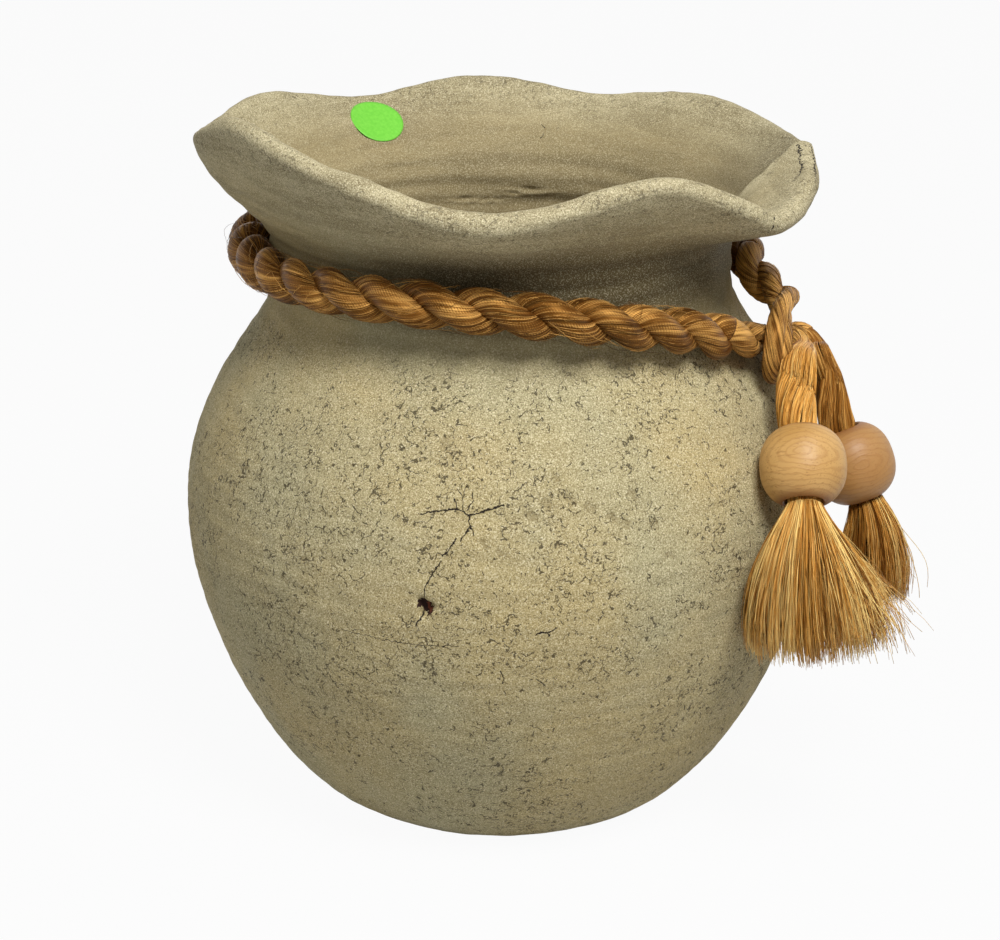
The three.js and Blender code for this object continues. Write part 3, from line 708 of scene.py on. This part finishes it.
def lying_fibres(line, core, radius, first, count, seed, longest):
    """Single fibres that lie along the outside of a strand, as (fibre, point, xyz)."""
    forward, across, upward = line_axes(line, first)
    step_length = line_length(line) / (len(line) - 1)
    step = np.linspace(0, 1, fibre_steps)
    rng = np.random.default_rng(seed)
    reach = rng.uniform(0.25, 1, count) * longest / step_length
    start = rng.uniform(0, 1, count) * (len(line) - 1 - reach)
    index = (start[:, None] + reach[:, None] * step).astype(int)
    bend = step * rng.uniform(2, 7, (count, 1)) + rng.uniform(0, 6.28, (count, 1))
    bend = 0.12 * np.sin(bend)
    turn = rng.uniform(0, 2 * np.pi, (count, 1)) - fibre_twist * step_length * index + bend
    radius = np.broadcast_to(radius, (len(line),))
    stand = rng.uniform(0.00002, 0.00016, (count, 1))
    out = across[index] * np.cos(turn)[..., None] + upward[index] * np.sin(turn)[..., None]
    fibres = line[index] + (radius[index] + stand)[..., None] * out
    fibres = keep_side(fibres.reshape(-1, 1, 3), line[index].reshape(-1, 3),
                       core[index].reshape(-1, 3))
    return fibres.reshape(count, fibre_steps, 3)


def hairs(name, lines, radii, tones):
    """Thin three-sided fibres in one mesh. lines is (fibre, point, xyz), radii is (fibre, point)."""
    sides = 3
    count, steps = lines.shape[:2]
    forward = unit(np.gradient(lines, axis=1))
    lean = np.where(np.abs(forward[:, :1, 2:3]) > 0.8, [[[1.0, 0, 0]]], [[[0, 0, 1.0]]])
    across = unit(np.cross(forward, np.broadcast_to(lean, forward.shape)))
    upward = np.cross(forward, across)
    turn = 2 * np.pi * np.arange(sides) / sides
    points = (lines[:, :, None, :]
              + radii[:, :, None, None] * (across[:, :, None, :] * np.cos(turn)[:, None]
                                           + upward[:, :, None, :] * np.sin(turn)[:, None]))
    firsts = (np.arange(count) * steps * sides)[:, None]
    faces = (quads(steps, sides)[None] + firsts[..., None]).reshape(-1, 4).tolist()
    for cap in (np.arange(sides)[::-1], np.arange((steps - 1) * sides, steps * sides)):
        faces += (cap[None] + firsts).tolist()
    piece = mesh_piece(name, points, faces)
    along_fibre = np.cumsum(np.linalg.norm(np.diff(lines, axis=1), axis=2), axis=1)
    along_fibre = np.concatenate([np.zeros((count, 1)), along_fibre], 1)
    lay = np.zeros((count, steps, sides, 3))
    lay[..., 0] = np.arange(count)[:, None, None] * 0.0137
    lay[..., 1] = turn * 0.0001
    lay[..., 2] = along_fibre[:, :, None]
    paint_points(piece, "lay", lay.reshape(-1, 3))
    paint_points(piece, "tone", np.repeat(tones[:, None], steps * sides, 1).ravel())
    return piece


def lying_hairs(name, lines, rng):
    """The loose fibres of the rope, thinner towards both ends."""
    taper = 1 - 0.6 * np.abs(2 * np.linspace(0, 1, fibre_steps) - 1) ** 3
    thin = rng.uniform(0.00005, 0.0001, (len(lines), 1)) * taper
    return hairs(name, lines, thin, rng.uniform(0.15, 1.1, len(lines)))


def knot_spot(azimuth, outward_mm, drop):
    """A spot so far out from where the rope would lie on the pot, and so far below the neck's top."""
    height = neck_top - drop / 1000
    return polar(azimuth, stand_off(height, rope_over) + outward_mm / 1000, height)


# The rope's middle line: its back end in the knot, once round the neck, and its front end in the
# knot. Each row also has the rope's thickness there and how much of its lay is left, as shares.
back_rows = [
    (-5.5, 11.8, 32.2, 0.5, 0.1), (-4.6, 8.6, 31.8, 0.58, 0.1), (-8.5, 4.8, 34.3, 0.6, 0.1),
    (-14.5, 2.6, 37, 0.66, 0.1), (-19.5, 2.6, 37.5, 0.68, 0.1), (-23.3, 4.5, 35.6, 0.69, 0.12),
    (-25.4, 8.1, 31.3, 0.71, 0.14), (-25.8, 11.4, 26.8, 0.72, 0.18), (-23.8, 13.2, 22.5, 0.73, 0.22),
    (-20, 13.5, 19.4, 0.73, 0.3), (-14.5, 13, 18.1, 0.74, 0.45), (-9, 11.6, 18.1, 0.76, 0.7),
    (-4.8, 9.2, 18, 0.8, 0.9), (-1.5, 6.6, 17, 0.85, 1), (2.5, 4.6, 15, 0.92, 1), (8, 3.3, 12.6, 1, 1),
]
front_rows = [
    (-25.2, 2.8, 25.5, 0.78, 0.7), (-21.4, 3.6, 26.5, 0.7, 0.5), (-17.4, 5.8, 27, 0.64, 0.4),
    (-14.4, 8.8, 27, 0.58, 0.3), (-14.2, 11.8, 27.7, 0.5, 0.2), (-17.5, 13.4, 29.8, 0.4, 0.1),
    (-22.5, 13.8, 32.2, 0.3, 0.1),
]
route = smooth_line([(turn, neck_top * 1000 - drop) for turn, drop in rope_route], count=90)
neck_rows = [[*polar(turn, stand_off(up_mm / 1000, rope_reach), up_mm / 1000), 0.001, 0.001]
             for turn, up_mm in route[3:-2]]


def knot_rows(stops):
    return [[*knot_spot(*stop[:3]), stop[3] / 1000, stop[4] / 1000] for stop in stops]


whole = smooth_line(knot_rows(back_rows) + neck_rows + knot_rows(front_rows), count=2200)
middle, thickness, laid = whole[:, :3], whole[:, 3] * 1000, whole[:, 4] * 1000
rope_length = line_length(middle)
forward, across, upward = line_axes(middle, (0, 0, 1))
place = np.linspace(0, rope_length, len(middle))
lay_turn = np.cumsum(laid) * (place[1] * 2 * np.pi / rope_pitch)
azimuth = np.degrees(np.arctan2(middle[:, 1], middle[:, 0]))
on_neck = (laid > 0.999) & (thickness > 0.999)
seen_first = np.flatnonzero(on_neck & (azimuth > 20))[0]
outward = unit(middle * [1, 1, 0])
outward = unit(outward - forward * (outward * forward).sum(-1, keepdims=True))
tilt = np.arctan2((outward * upward).sum(-1), (outward * across).sum(-1))[seen_first]
neck_start, neck_end = np.flatnonzero(on_neck)[[0, -1]]
lay_turn += tilt + lay_at_20 - lay_turn[seen_first]


def strand_line(phase, first_row, last_row):
    """One strand of the rope, as rows of its middle, the rope's middle and its radius."""
    turn = (lay_turn + phase)[:, None]
    offset = strand_offset * thickness[:, None]
    helix = middle + offset * (across * np.cos(turn) + upward * np.sin(turn))
    rows = np.hstack([helix, middle, strand_radius * thickness[:, None]])[first_row:last_row]
    count = int(line_length(rows[:, :3]) / strand_step)
    rows = along(rows, np.linspace(0, 1, count))
    return rows[:, :3], rows[:, 3:6], rows[:, 6]


neck_strands, neck_fibres = [], []
for letter, phase, seed in (("a", 0, 23), ("b", np.pi, 11)):
    line, core, radius = strand_line(phase, neck_start, neck_end)
    first = outward[neck_start]
    neck_strands.append(strand("neck_strand_" + letter, line, core, radius, first, seed))
    neck_fibres.append(lying_fibres(line, core, radius, first, count=1100, seed=seed + 7,
                                    longest=0.035))

# One group for the grain of the plant fibre, which the rope, its tails and the tassels share:
# streaks along each fibre, darker between the fibres, and blotches along the strand
fibre_grain = bpy.data.node_groups.new("fibre_grain", "ShaderNodeTree")
for name, kind in (("Lay", "NodeSocketVector"), ("Fineness", "NodeSocketFloat")):
    fibre_grain.interface.new_socket(name, in_out="INPUT", socket_type=kind)
for name in ("Streak", "Blotch"):
    fibre_grain.interface.new_socket(name, in_out="OUTPUT", socket_type="NodeSocketFloat")
given = fibre_grain.nodes.new("NodeGroupInput")
taken = fibre_grain.nodes.new("NodeGroupOutput")
lay_given = given.outputs["Lay"]
drawn_out = vector_sum("MULTIPLY", lay_given, (1, 1, 0.035))
fine = noise(drawn_out, given.outputs["Fineness"], 3, 0.65)
coarse = noise(drawn_out, 420)
fibre_grain.links.new(plus(times(fine, 0.6), times(coarse, 0.4)), taken.inputs["Streak"])
fibre_grain.links.new(noise(lay_given, 90), taken.inputs["Blotch"])


def fibre_finish(name, dark, middle_tone, bright, fineness):
    """Glossy plant fibre, in three tones, with a golden sheen."""
    finish, tree, shader = new_finish(name)
    grain = node(tree, "Group", {"Lay": painted(tree, "lay", "Vector"), "Fineness": fineness},
                 node_tree=fibre_grain)
    streak, blotch = grain.outputs
    share = plus(plus(times(streak, 2.0), -1.0), painted(tree, "tone"))
    share = plus(share, times(minus(blotch, 0.5), 0.8))
    ramp = node(tree, "ValToRGB", {"Fac": share})
    ramp.color_ramp.elements[0].position, ramp.color_ramp.elements[0].color = 0.12, dark
    ramp.color_ramp.elements[1].position, ramp.color_ramp.elements[1].color = 0.95, bright
    ramp.color_ramp.elements.new(0.52).color = middle_tone
    link_up(shader, ramp.outputs["Color"], streak, 0.6, 0.0003)
    shader.inputs["Roughness"].default_value = 0.4
    shader.inputs["Specular Tint"].default_value = tone(255, 186, 96)
    shader.inputs["Specular IOR Level"].default_value = 0.75
    return finish


rope_fibre = fibre_finish("rope_fibre", tone(22, 9, 1), tone(100, 59, 18), tone(234, 180, 100), 2900)

# Loose hairs that stand off the rope in low bows, besides those that lie on its strands
rng = np.random.default_rng(5)
start = rng.integers(neck_start, neck_end - 80, loose_hairs)
reach = rng.integers(12, 70, loose_hairs)
side = rng.uniform(0, 2 * np.pi, loose_hairs)
lift = rng.uniform(0.0001, 0.0012, loose_hairs) * (1 + 1.5 * (rng.uniform(size=loose_hairs) > 0.95))
step = np.linspace(0, 1, fibre_steps)
index = (start[:, None] + reach[:, None] * step).astype(int)
swing = side[:, None] + rng.uniform(-1.2, 1.2, loose_hairs)[:, None] * step
bow = np.sin(step * np.pi * rng.uniform(0.5, 1, loose_hairs)[:, None])
out = rope_surface + lift[:, None] * bow
loose = middle[index] + out[..., None] * (across[index] * np.cos(swing)[..., None]
                                          + upward[index] * np.sin(swing)[..., None])
loose += 0.00018 * rng.normal(size=loose.shape) * step[None, :, None]
neck_hairs = lying_hairs("neck_rope_hairs", np.concatenate([loose] + neck_fibres), rng)
for piece, solid in zip(neck_strands + [neck_hairs], ("collar_strand_a", "collar_strand_b", None)):
    piece.data.materials.append(rope_fibre)
    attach(piece, "collar")
    if solid:
        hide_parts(solid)


# Knot. The back end of the rope is laid over the front end, wrapped once round it and pulled
# tight, and both ends come out on the right as loose fibre that runs down into the two tails.
joints = {joint["name"]: joint for joint in frame["joints"]}


def tail_axes(name):
    """Where a tail leaves the knot, and its directions up, across and away from the pot."""
    top = np.array(joints[name + "_tail_lift"]["pos_m"])
    upward = np.array(joints[name + "_bead_slide"]["axis"])
    across = -np.array(joints[name + "_tail_lift"]["axis"])
    return top, upward, across, np.cross(across, upward)


front_top, front_up, front_across, front_out = tail_axes("front")
rear_top, rear_up, rear_across, rear_out = tail_axes("rear")


def knot_rope(name, first_row, last_row, seed):
    """Both strands of a stretch of the rope in the knot, in one mesh, and their loose fibres."""
    halves, fibres = [], []
    first = outward[first_row]
    for half_name, phase in ((name, 0), (name + "_half", np.pi)):
        line, core, radius = strand_line(phase, first_row, last_row)
        # The knot's strands are painted lighter than the rope round the neck, as painted light
        halves.append(strand(half_name, line, core, radius, first, seed, sides=80, tone_with_painted_light=0.74))
        fibres.append(lying_fibres(line, core, radius, first, count=260, seed=seed + 2,
                                   longest=0.025))
        seed += 1
    with bpy.context.temp_override(active_object=halves[0], selected_editable_objects=halves):
        bpy.ops.object.join()
    return halves[0], np.concatenate(fibres)


knot_wrap, wrap_fibres = knot_rope("knot_wrap_rope", 0, neck_start + 1, 37)
knot_turn, turn_fibres = knot_rope("knot_turn_rope", neck_end - 1, len(middle), 31)
knot_hairs = lying_hairs("knot_hairs", np.concatenate([wrap_fibres, turn_fibres]),
                         np.random.default_rng(61))
for piece, solid in ((knot_turn, "knot_turn"), (knot_wrap, "knot_wrap"), (knot_hairs, None)):
    piece.data.materials.append(rope_fibre)
    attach(piece, "collar")
    if solid:
        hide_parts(solid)


# Tails. Each end of the rope comes out of the knot untwisted, as a glossy bundle of straight
# golden fibre, runs down through its bead, and goes on as the heart of the tassel.
fibre_radius, tail_fibres, end_fibres, bundle_clumps = 0.00015, 1700, 1200, 24
straw_fibre = fibre_finish(
    "straw_fibre", tone(112, 66, 20), tone(214, 154, 70), tone(255, 222, 142), 2300)
# The rear tail and its end in the knot are the same rope as the front tail, painted darker as painted
# shade
shaded_tail_fibre = fibre_finish(
    "shaded_tail_fibre", tone(58, 29, 6), tone(148, 94, 34), tone(236, 184, 102), 2300)


def bundle(name, path, wide, flat, count, seed, twist, frayed, parting=0.0):
    """Loose fibres side by side along a path, in an oval of these half sizes, drawn into clumps.
    They turn by twist before they run straight, and start and end at uneven places."""
    forward, across, deep = line_axes(path, (1, 0, 0))
    place = np.linspace(0, line_length(path), len(path))
    rng = np.random.default_rng(seed)
    reach = np.sqrt(rng.uniform(0, 1, count)) * 0.96
    reach[:count * 2 // 3] = rng.uniform(0.86, 1, count * 2 // 3)
    turn = rng.uniform(0, 2 * np.pi, count)
    clump_turn = np.sort(rng.uniform(0, 2 * np.pi, bundle_clumps))
    apart = np.angle(np.exp(1j * (clump_turn[None] - turn[:, None])))
    nearest = np.argmin(np.abs(apart), axis=1)
    drawn = apart[np.arange(count), nearest][:, None]
    waves = rng.uniform(120, 260, bundle_clumps)[nearest, None]
    pull = 0.12 + 0.08 * np.sin(place[None] * waves + seed)
    turned = turn[:, None] + drawn * pull + twist * np.tanh(place / 0.03)[None]
    reach = reach[:, None] * (1.02 - 0.25 * np.abs(drawn))
    x, y = reach * np.cos(turned) * wide[None], reach * np.sin(turned) * flat[None]
    x += np.where(np.cos(turn) > 0.3, 1.0, -0.45)[:, None] * parting
    lines = path[None] + x[..., None] * across[None] + y[..., None] * deep[None]
    wander = place[None] * rng.uniform(150, 420, (count, 1)) + rng.uniform(0, 6.28, (count, 1))
    lines += 0.00012 * np.sin(wander)[..., None] * across[None]
    first_share, last_share = (rng.uniform(0, share, (count, 1)) for share in frayed)
    share = first_share + (1 - first_share - last_share) * np.linspace(0, 1, len(path))
    at = share * (len(path) - 1.001)
    low = at.astype(int)
    row = np.arange(count)[:, None]
    lines = lines[row, low] + (at - low)[..., None] * (lines[row, low + 1] - lines[row, low])
    radii = np.full((count, len(path)), fibre_radius) * rng.uniform(0.7, 1.35, (count, 1))
    tones = rng.normal(0.52, 0.17, count) + rng.normal(0, 0.1, bundle_clumps)[nearest]
    return hairs(name, lines, radii, np.clip(tones, 0, 1.1))


# From a tail's top down to the middle of its bead, from there to where the tail and the tassel
# begin to hang, and how far the tail reaches up into the knot
front_drop, rear_drop, hang_below, fray_below, tail_lead = 0.031, 0.033, 0.0148, 0.0128, 0.004


def hanging(origin, end, upward, share):
    """From below the bead, along the tail at first and then hanging."""
    bend = origin - upward * (origin[2] - end[2]) / 3
    return (1 - share) ** 2 * origin + 2 * share * (1 - share) * bend + share ** 2 * end


def tail(name, top, upward, bead_drop, end, bows, widths, flats, seed, parting, twist):
    """The whole tail and its path, from inside the knot to near the tassel's end."""
    origin = top - upward * (bead_drop + hang_below)
    drops = (-tail_lead, 0.002, 0.008, 0.014, bead_drop - 0.0118)
    spots = [top - upward * drop + np.array(bow) / 1000 for drop, bow in zip(drops, bows)]
    spots += [top - upward * (bead_drop - 0.007), top - upward * bead_drop, origin]
    below = hanging(origin, end, upward, np.linspace(0, 1, 60)[12:50:6, None])
    path = smooth_line(np.vstack([spots, below]), count=120)
    place = np.linspace(0, line_length(path), len(path))
    stops = np.array([-tail_lead, 0, 0.004, 0.012, bead_drop - 0.013, bead_drop - 0.009, 1]) + tail_lead
    wide, flat = (np.interp(place, stops, sizes) / 1000 for sizes in (widths, flats))
    near_bead = np.exp(-((place - (bead_drop - 0.0115 + tail_lead)) / 0.005) ** 2)
    return bundle(name, path, wide, flat, tail_fibres, seed, twist, (0.1, 0),
                  parting * near_bead), path


def knot_bundle(name, stops, top, upward, bows, widths, flats, seed, twist):
    """Loose fibre from inside the knot down to where a tail begins to swing."""
    spots = [knot_spot(*stop) for stop in stops]
    spots += [top - upward * drop + np.array(bow) / 1000 for drop, bow in zip((-tail_lead, 0.007), bows)]
    path = smooth_line(spots, count=60)
    place = np.linspace(0, 1, len(path))
    wide, flat = (np.interp(place, np.linspace(0, 1, len(sizes)), sizes) / 1000
                  for sizes in (widths, flats))
    return bundle(name, path, wide, flat, end_fibres, seed, twist, (0, 0.4))


# How far a tail bows off its straight line on its way to the bead, in millimetres, and its half
# widths and half depths on the way, which swell where the fibres loosen and close in the bead
front_bows = [(-0.6, -1, 0), (-1.5, -1, 0), (-1.7, -1, 0), (-1.6, -0.8, 0), (-1.2, -0.3, 0)]
rear_bows = [(1.6, 0, 0.5), (2.2, 0, 0.5), (1.2, 0, 0), (-0.1, 0, 0), (-0.8, 0, 0)]
front_ends = knot_bundle(
    "front_end_fibres", [(-13, 8, 27), (-13.6, 11.6, 27.6), (-17.6, 13.6, 30)], front_top, front_up,
    front_bows, (1.4, 2.2, 3.8, 5.2, 6, 6.1), (1.4, 2, 3, 3.8, 4.2, 4.2), seed=71, twist=1.2)
rear_ends = knot_bundle(
    "rear_end_fibres", [(-5, 8, 31.5), (-5.2, 11.5, 32.6), (-7.5, 13, 35.6)], rear_top, rear_up,
    rear_bows, (2.4, 2.8, 3, 3.4, 3.7, 3.9), (2.2, 2.6, 3, 3.5, 3.8, 3.9), seed=73, twist=1.0)
front_end = np.array([0.09829, -0.07679, 0.07456])
rear_end = np.array([0.12025, -0.02998, 0.07249])
front_tail, front_path = tail(
    "front_tail", front_top, front_up, front_drop, front_end, front_bows,
    (3.4, 5.5, 6.1, 6.1, 5.8, 5, 5), (2.2, 3.6, 4.1, 4.1, 4.4, 5, 5), seed=41, parting=0.0005,
    twist=2.6)
rear_tail, rear_path = tail(
    "rear_tail", rear_top, rear_up, rear_drop, rear_end, rear_bows,
    (2.2, 3.3, 4, 5.3, 5.8, 5, 5), (2.2, 3.4, 3.8, 4.6, 4.8, 5, 5), seed=43, parting=0.0, twist=1.6)
for piece, fibre, body in ((front_ends, straw_fibre, "collar"), (rear_ends, shaded_tail_fibre, "collar"),
                           (front_tail, straw_fibre, "front_tail"), (rear_tail, shaded_tail_fibre, "rear_tail")):
    piece.data.materials.append(fibre)
    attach(piece, body)
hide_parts("front_tail_strand_a", "front_tail_strand_b")
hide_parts("rear_tail_strand_a", "rear_tail_strand_b")


# Beads. One turned wooden bead is threaded on each tail: pale honey-coloured wood, sanded and
# thinly lacquered, flattened where the bore comes out and darker round the bore.
bead_half_wide, bead_half_high, bore_radius, bore_edge = 0.0135, 0.012, 0.0058, 0.001
bead_squareness, bead_sides = 2.35, 96
power = 2 / bead_squareness
end_turn = np.arccos(((bore_radius + bore_edge) / bead_half_wide) ** (1 / power))
stretch = bead_half_high / np.sin(end_turn) ** power
turn = end_turn * np.linspace(-1, 1, 60)
side = np.stack([bead_half_wide * np.cos(turn) ** power,
                 stretch * np.sign(turn) * np.abs(np.sin(turn)) ** power], -1)
round_off = np.radians(np.linspace(0, 90, 6))[1:]
upper_edge = np.stack([bore_radius + bore_edge * (1 - np.sin(round_off)),
                       bead_half_high - bore_edge * (1 - np.cos(round_off))], -1)
lower_edge = upper_edge[::-1] * [1, -1]
bead_profile = np.vstack([side, upper_edge, lower_edge, side[:1]])
bead_turns = np.linspace(0, 2 * np.pi, bead_sides, endpoint=False)
reach, high = bead_profile[:-1, :1], bead_profile[:-1, 1:]
bead_skin = np.stack([reach * np.cos(bead_turns), reach * np.sin(bead_turns), high + 0 * bead_turns], -1)
first = np.arange(bead_sides)
last = (len(bead_profile) - 2) * bead_sides + first
closing = np.stack([last, np.roll(last, -1), np.roll(first, -1), first], -1)
bead_faces = np.vstack([quads(len(bead_profile) - 1, bead_sides), closing])

bead_wood, tree, shader = new_finish("bead_wood")
place = node(tree, "TexCoord").outputs["Object"]

# Year rings round the heart of the wood, which lies outside the bead, then pores, the dark ends
# and a small knot that only the paler bead shows
heart = vector_sum("SUBTRACT", place, (0.0122, 0.0044, 0.0005))
heart = vector_sum("LENGTH", vector_sum("MULTIPLY", heart, (0.25, 0.6, 1.3)))
year = plus(times(heart, 3300.0), times(noise(place, 110, 3), 17.0))
year = step_up(sum_up("SINE", year), 0.1, 1.0)
pores = noise(vector_sum("MULTIPLY", place, (1, 0.1, 1)), 2200)
wood = blend_tones(step_up(noise(place, 55), 0.3, 0.7), tone(196, 150, 84), tone(213, 169, 104))
wood = blend_tones(times(year, 0.26), wood, tone(160, 106, 48))
wood = blend_tones(times(step_up(pores, 0.55, 0.72), 0.5), wood, tone(150, 100, 48))
ends = sum_up("ABSOLUTE", node(tree, "SeparateXYZ", {"Vector": place}).outputs["Z"])
wood = blend_tones(times(step_up(ends, 0.0098, 0.0122), 0.75), wood, tone(112, 62, 30))
darker = painted(tree, "darker")
knot_mark = step_up(vector_sum("DISTANCE", place, (0.0073, 0.0091, -0.0054)), 0.0009, 0.0003)
knot_mark = times(knot_mark, step_up(darker, 0.2, 0.1))
wood = blend_tones(times(knot_mark, 0.8), wood, tone(140, 84, 36))
wood = blend_tones(darker, wood, tone(150, 98, 48))
link_up(shader, wood, plus(pores, year), 0.2, 0.0002, between(pores, 0.42, 0.58))
shader.inputs["Coat Weight"].default_value = 0.06
shader.inputs["Coat Roughness"].default_value = 0.35


def bead(name, top, upward, across, outward_axis, drop, body, darker):
    piece = mesh_piece(name, bead_skin, bead_faces)
    paint_points(piece, "darker", np.full(len(piece.data.vertices), darker))
    axes = np.eye(4)
    axes[:3] = np.stack([-across, outward_axis, upward, top - upward * drop], -1)
    piece.matrix_world = Matrix(axes.tolist())
    piece.data.materials.append(bead_wood)
    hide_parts(body)
    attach(piece, body)
    return piece


front_bead = bead("front_wooden_bead", front_top, front_up, front_across, front_out, front_drop,
                  "front_bead", darker=0.0)
rear_bead = bead("rear_wooden_bead", rear_top, rear_up, rear_across, rear_out, rear_drop,
                 "rear_bead", darker=0.55)


# Tassels. Below each bead the rope's end is frayed into a broad brush of springy straw-coloured
# fibre that fans out downwards, with clumps, partings painted dark as painted shade and a few stray
# fibres.
tassel_clumps, tassel_top = 90, 0.0058


def tassel(name, top, upward, across, outward_axis, drop, end, azimuth, width, depth, count, seed,
           tint, stray):
    """A brush that fans out to this half width and half depth, level and facing the azimuth."""
    rng = np.random.default_rng(seed)
    turn = rng.uniform(0, 2 * np.pi, count)
    reach = np.sqrt(rng.uniform(0.02, 1, count)) * 0.97
    clump_turn = rng.uniform(0, 2 * np.pi, tassel_clumps)
    clump_reach = np.sqrt(rng.uniform(0.02, 1, tassel_clumps)) * 0.95
    spots = np.stack([reach * np.cos(turn), reach * np.sin(turn)], -1)
    clumps = np.stack([clump_reach * np.cos(clump_turn), clump_reach * np.sin(clump_turn)], -1)
    nearest = np.argmin(np.linalg.norm(spots[:, None] - clumps[None], axis=2), axis=1)
    drawn = (clumps[nearest] - spots) * rng.uniform(0.1, 0.6, count)[:, None]
    level_across, level_out = polar(azimuth - 90, 1, 0), polar(azimuth, 1, 0)
    to_right = spots @ [level_across[0], level_out[0]]
    to_front = spots @ [-level_across[1], -level_out[1]]
    tip = 1 - rng.uniform(0, 0.09, count) - 0.03 * rng.uniform(size=tassel_clumps)[nearest]
    tip = tip - 0.06 * np.clip(to_front, 0, 1)
    share = tip[:, None] * np.linspace(0, 1, fibre_steps)[None]
    fan = np.sin(np.pi / 2 * np.minimum(1, 1.06 * share)) ** 1.25
    wide = tassel_top + (width - tassel_top) * fan
    deep = tassel_top + (depth - tassel_top) * fan
    spot = spots[:, None] + drawn[:, None] * share[..., None]
    lines = hanging(top - upward * (drop + fray_below), end, upward, share[..., None])
    f = fan[..., None]
    lines = (lines + (spot[..., :1] * wide[..., None]) * (-across * (1 - f) + level_across * f)
             + (spot[..., 1:] * deep[..., None]) * (outward_axis * (1 - f) + level_out * f))
    for axis in range(3):
        sway = np.sin(share * rng.uniform(3, 9, (count, 1)) + rng.uniform(0, 6.28, (count, 1)))
        lines[..., axis] += 0.0009 * share * sway * rng.uniform(0.2, 1.6, (count, 1))
    wild = rng.uniform(size=count) < stray * (1 + 7 * (to_right > 0.3))
    pushes = ((-0.3, 1), (-0.7, 0.3), (0, 0.8))
    pushed = np.stack([rng.uniform(low, high, count) for low, high in pushes], -1)
    curl = share ** 2 * (1 + 0.3 * np.sin(7 * share + rng.uniform(0, 6.28, (count, 1))))
    lines += (wild[:, None] * curl)[..., None] * pushed[:, None] * 0.012
    radii = fibre_radius * rng.uniform(0.7, 1.4, (count, 1)) * (1 - 0.45 * share)
    tones = 0.5 + rng.normal(0, 0.16, count) + 0.16 * rng.normal(size=tassel_clumps)[nearest] + tint
    # Painted shade in a parting between the clumps
    tones = np.clip(tones, 0, 1.2) - 0.4 * np.exp(-((to_right - 0.2) / 0.05) ** 2)
    return hairs(name, lines, radii, tones)


front_tassel = tassel("front_tassel_brush", front_top, front_up, front_across, front_out, front_drop,
                      front_end, azimuth=-34.5, width=0.0255, depth=0.022, count=3200, seed=51,
                      tint=0.27, stray=0.06)
rear_tassel = tassel("rear_tassel_brush", rear_top, rear_up, rear_across, rear_out, rear_drop,
                     rear_end, azimuth=-14, width=0.0135, depth=0.014, count=1300, seed=53,
                     tint=0.02, stray=0.006)
for piece, solid, body in ((front_tassel, "front_tassel", "front_tail"),
                           (rear_tassel, "rear_tassel", "rear_tail")):
    piece.data.materials.append(straw_fibre)
    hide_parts(solid)
    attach(piece, body)


# Floor and light. The pot stands on a plain white floor under a broad lamp, high in front of it
# and a little to the right, with two weak lamps at its sides and a weak light from all round.
floor_half, floor_seen, world_light, pot_middle = 4, 0.95, 0.13, (0, 0, 0.1)


def seen_directly(tree):
    """1 where the camera sees a surface, plainly, mirrored or through glass, and 0 for its light."""
    paths = node(tree, "LightPath")
    seen = greater(paths.outputs["Is Camera Ray"], paths.outputs["Is Glossy Ray"])
    return greater(seen, paths.outputs["Is Transmission Ray"])


corners = [(-floor_half, -floor_half, 0), (floor_half, -floor_half, 0),
           (floor_half, floor_half, 0), (-floor_half, floor_half, 0)]
floor = mesh_piece("floor", corners, [(0, 1, 2, 3)], smooth=False)
white_floor, tree, shader = new_finish("white_floor")
shader.inputs["Base Color"].default_value = (0.5, 0.5, 0.5, 1)
shader.inputs["Roughness"].default_value = 0.8
glow = node(tree, "Emission", {"Color": (1, 1, 1, 1), "Strength": 1.0})
mixed = node(tree, "MixShader", {0: times(seen_directly(tree), floor_seen), 1: shader.outputs[0],
                                 2: glow.outputs[0]})
tree.links.new(mixed.outputs[0], tree.nodes["Material Output"].inputs["Surface"])
floor.data.materials.append(white_floor)

world = bpy.data.worlds.new("studio")
bpy.context.scene.world = world
world.use_nodes = True
sky = world.node_tree.nodes["Background"]
sky.inputs["Color"].default_value = (1, 1, 1, 1)
lit = between(seen_directly(world.node_tree), world_light, 1.0)
world.node_tree.links.new(lit, sky.inputs["Strength"])


def lamp(name, place, size, power):
    """A square lamp that is turned to the middle of the pot."""
    light = bpy.data.lights.new(name, "AREA")
    light.size, light.energy = size, power
    piece = bpy.data.objects.new(name, light)
    piece.location = place
    aim = unit(np.subtract(pot_middle, place))
    piece.rotation_euler = (np.arccos(-aim[2]), 0, np.arctan2(aim[1], aim[0]) - np.pi / 2)
    bpy.context.collection.objects.link(piece)


lamp("key_light", (0.3, -0.78, 1.2), size=0.5, power=17.8)
lamp("left_light", (-1.2, -0.45, 1.0), size=1.0, power=2.2)
lamp("right_light", (1.4, -0.25, 1.05), size=0.35, power=1)

bpy.context.scene.view_settings.view_transform = "Standard"
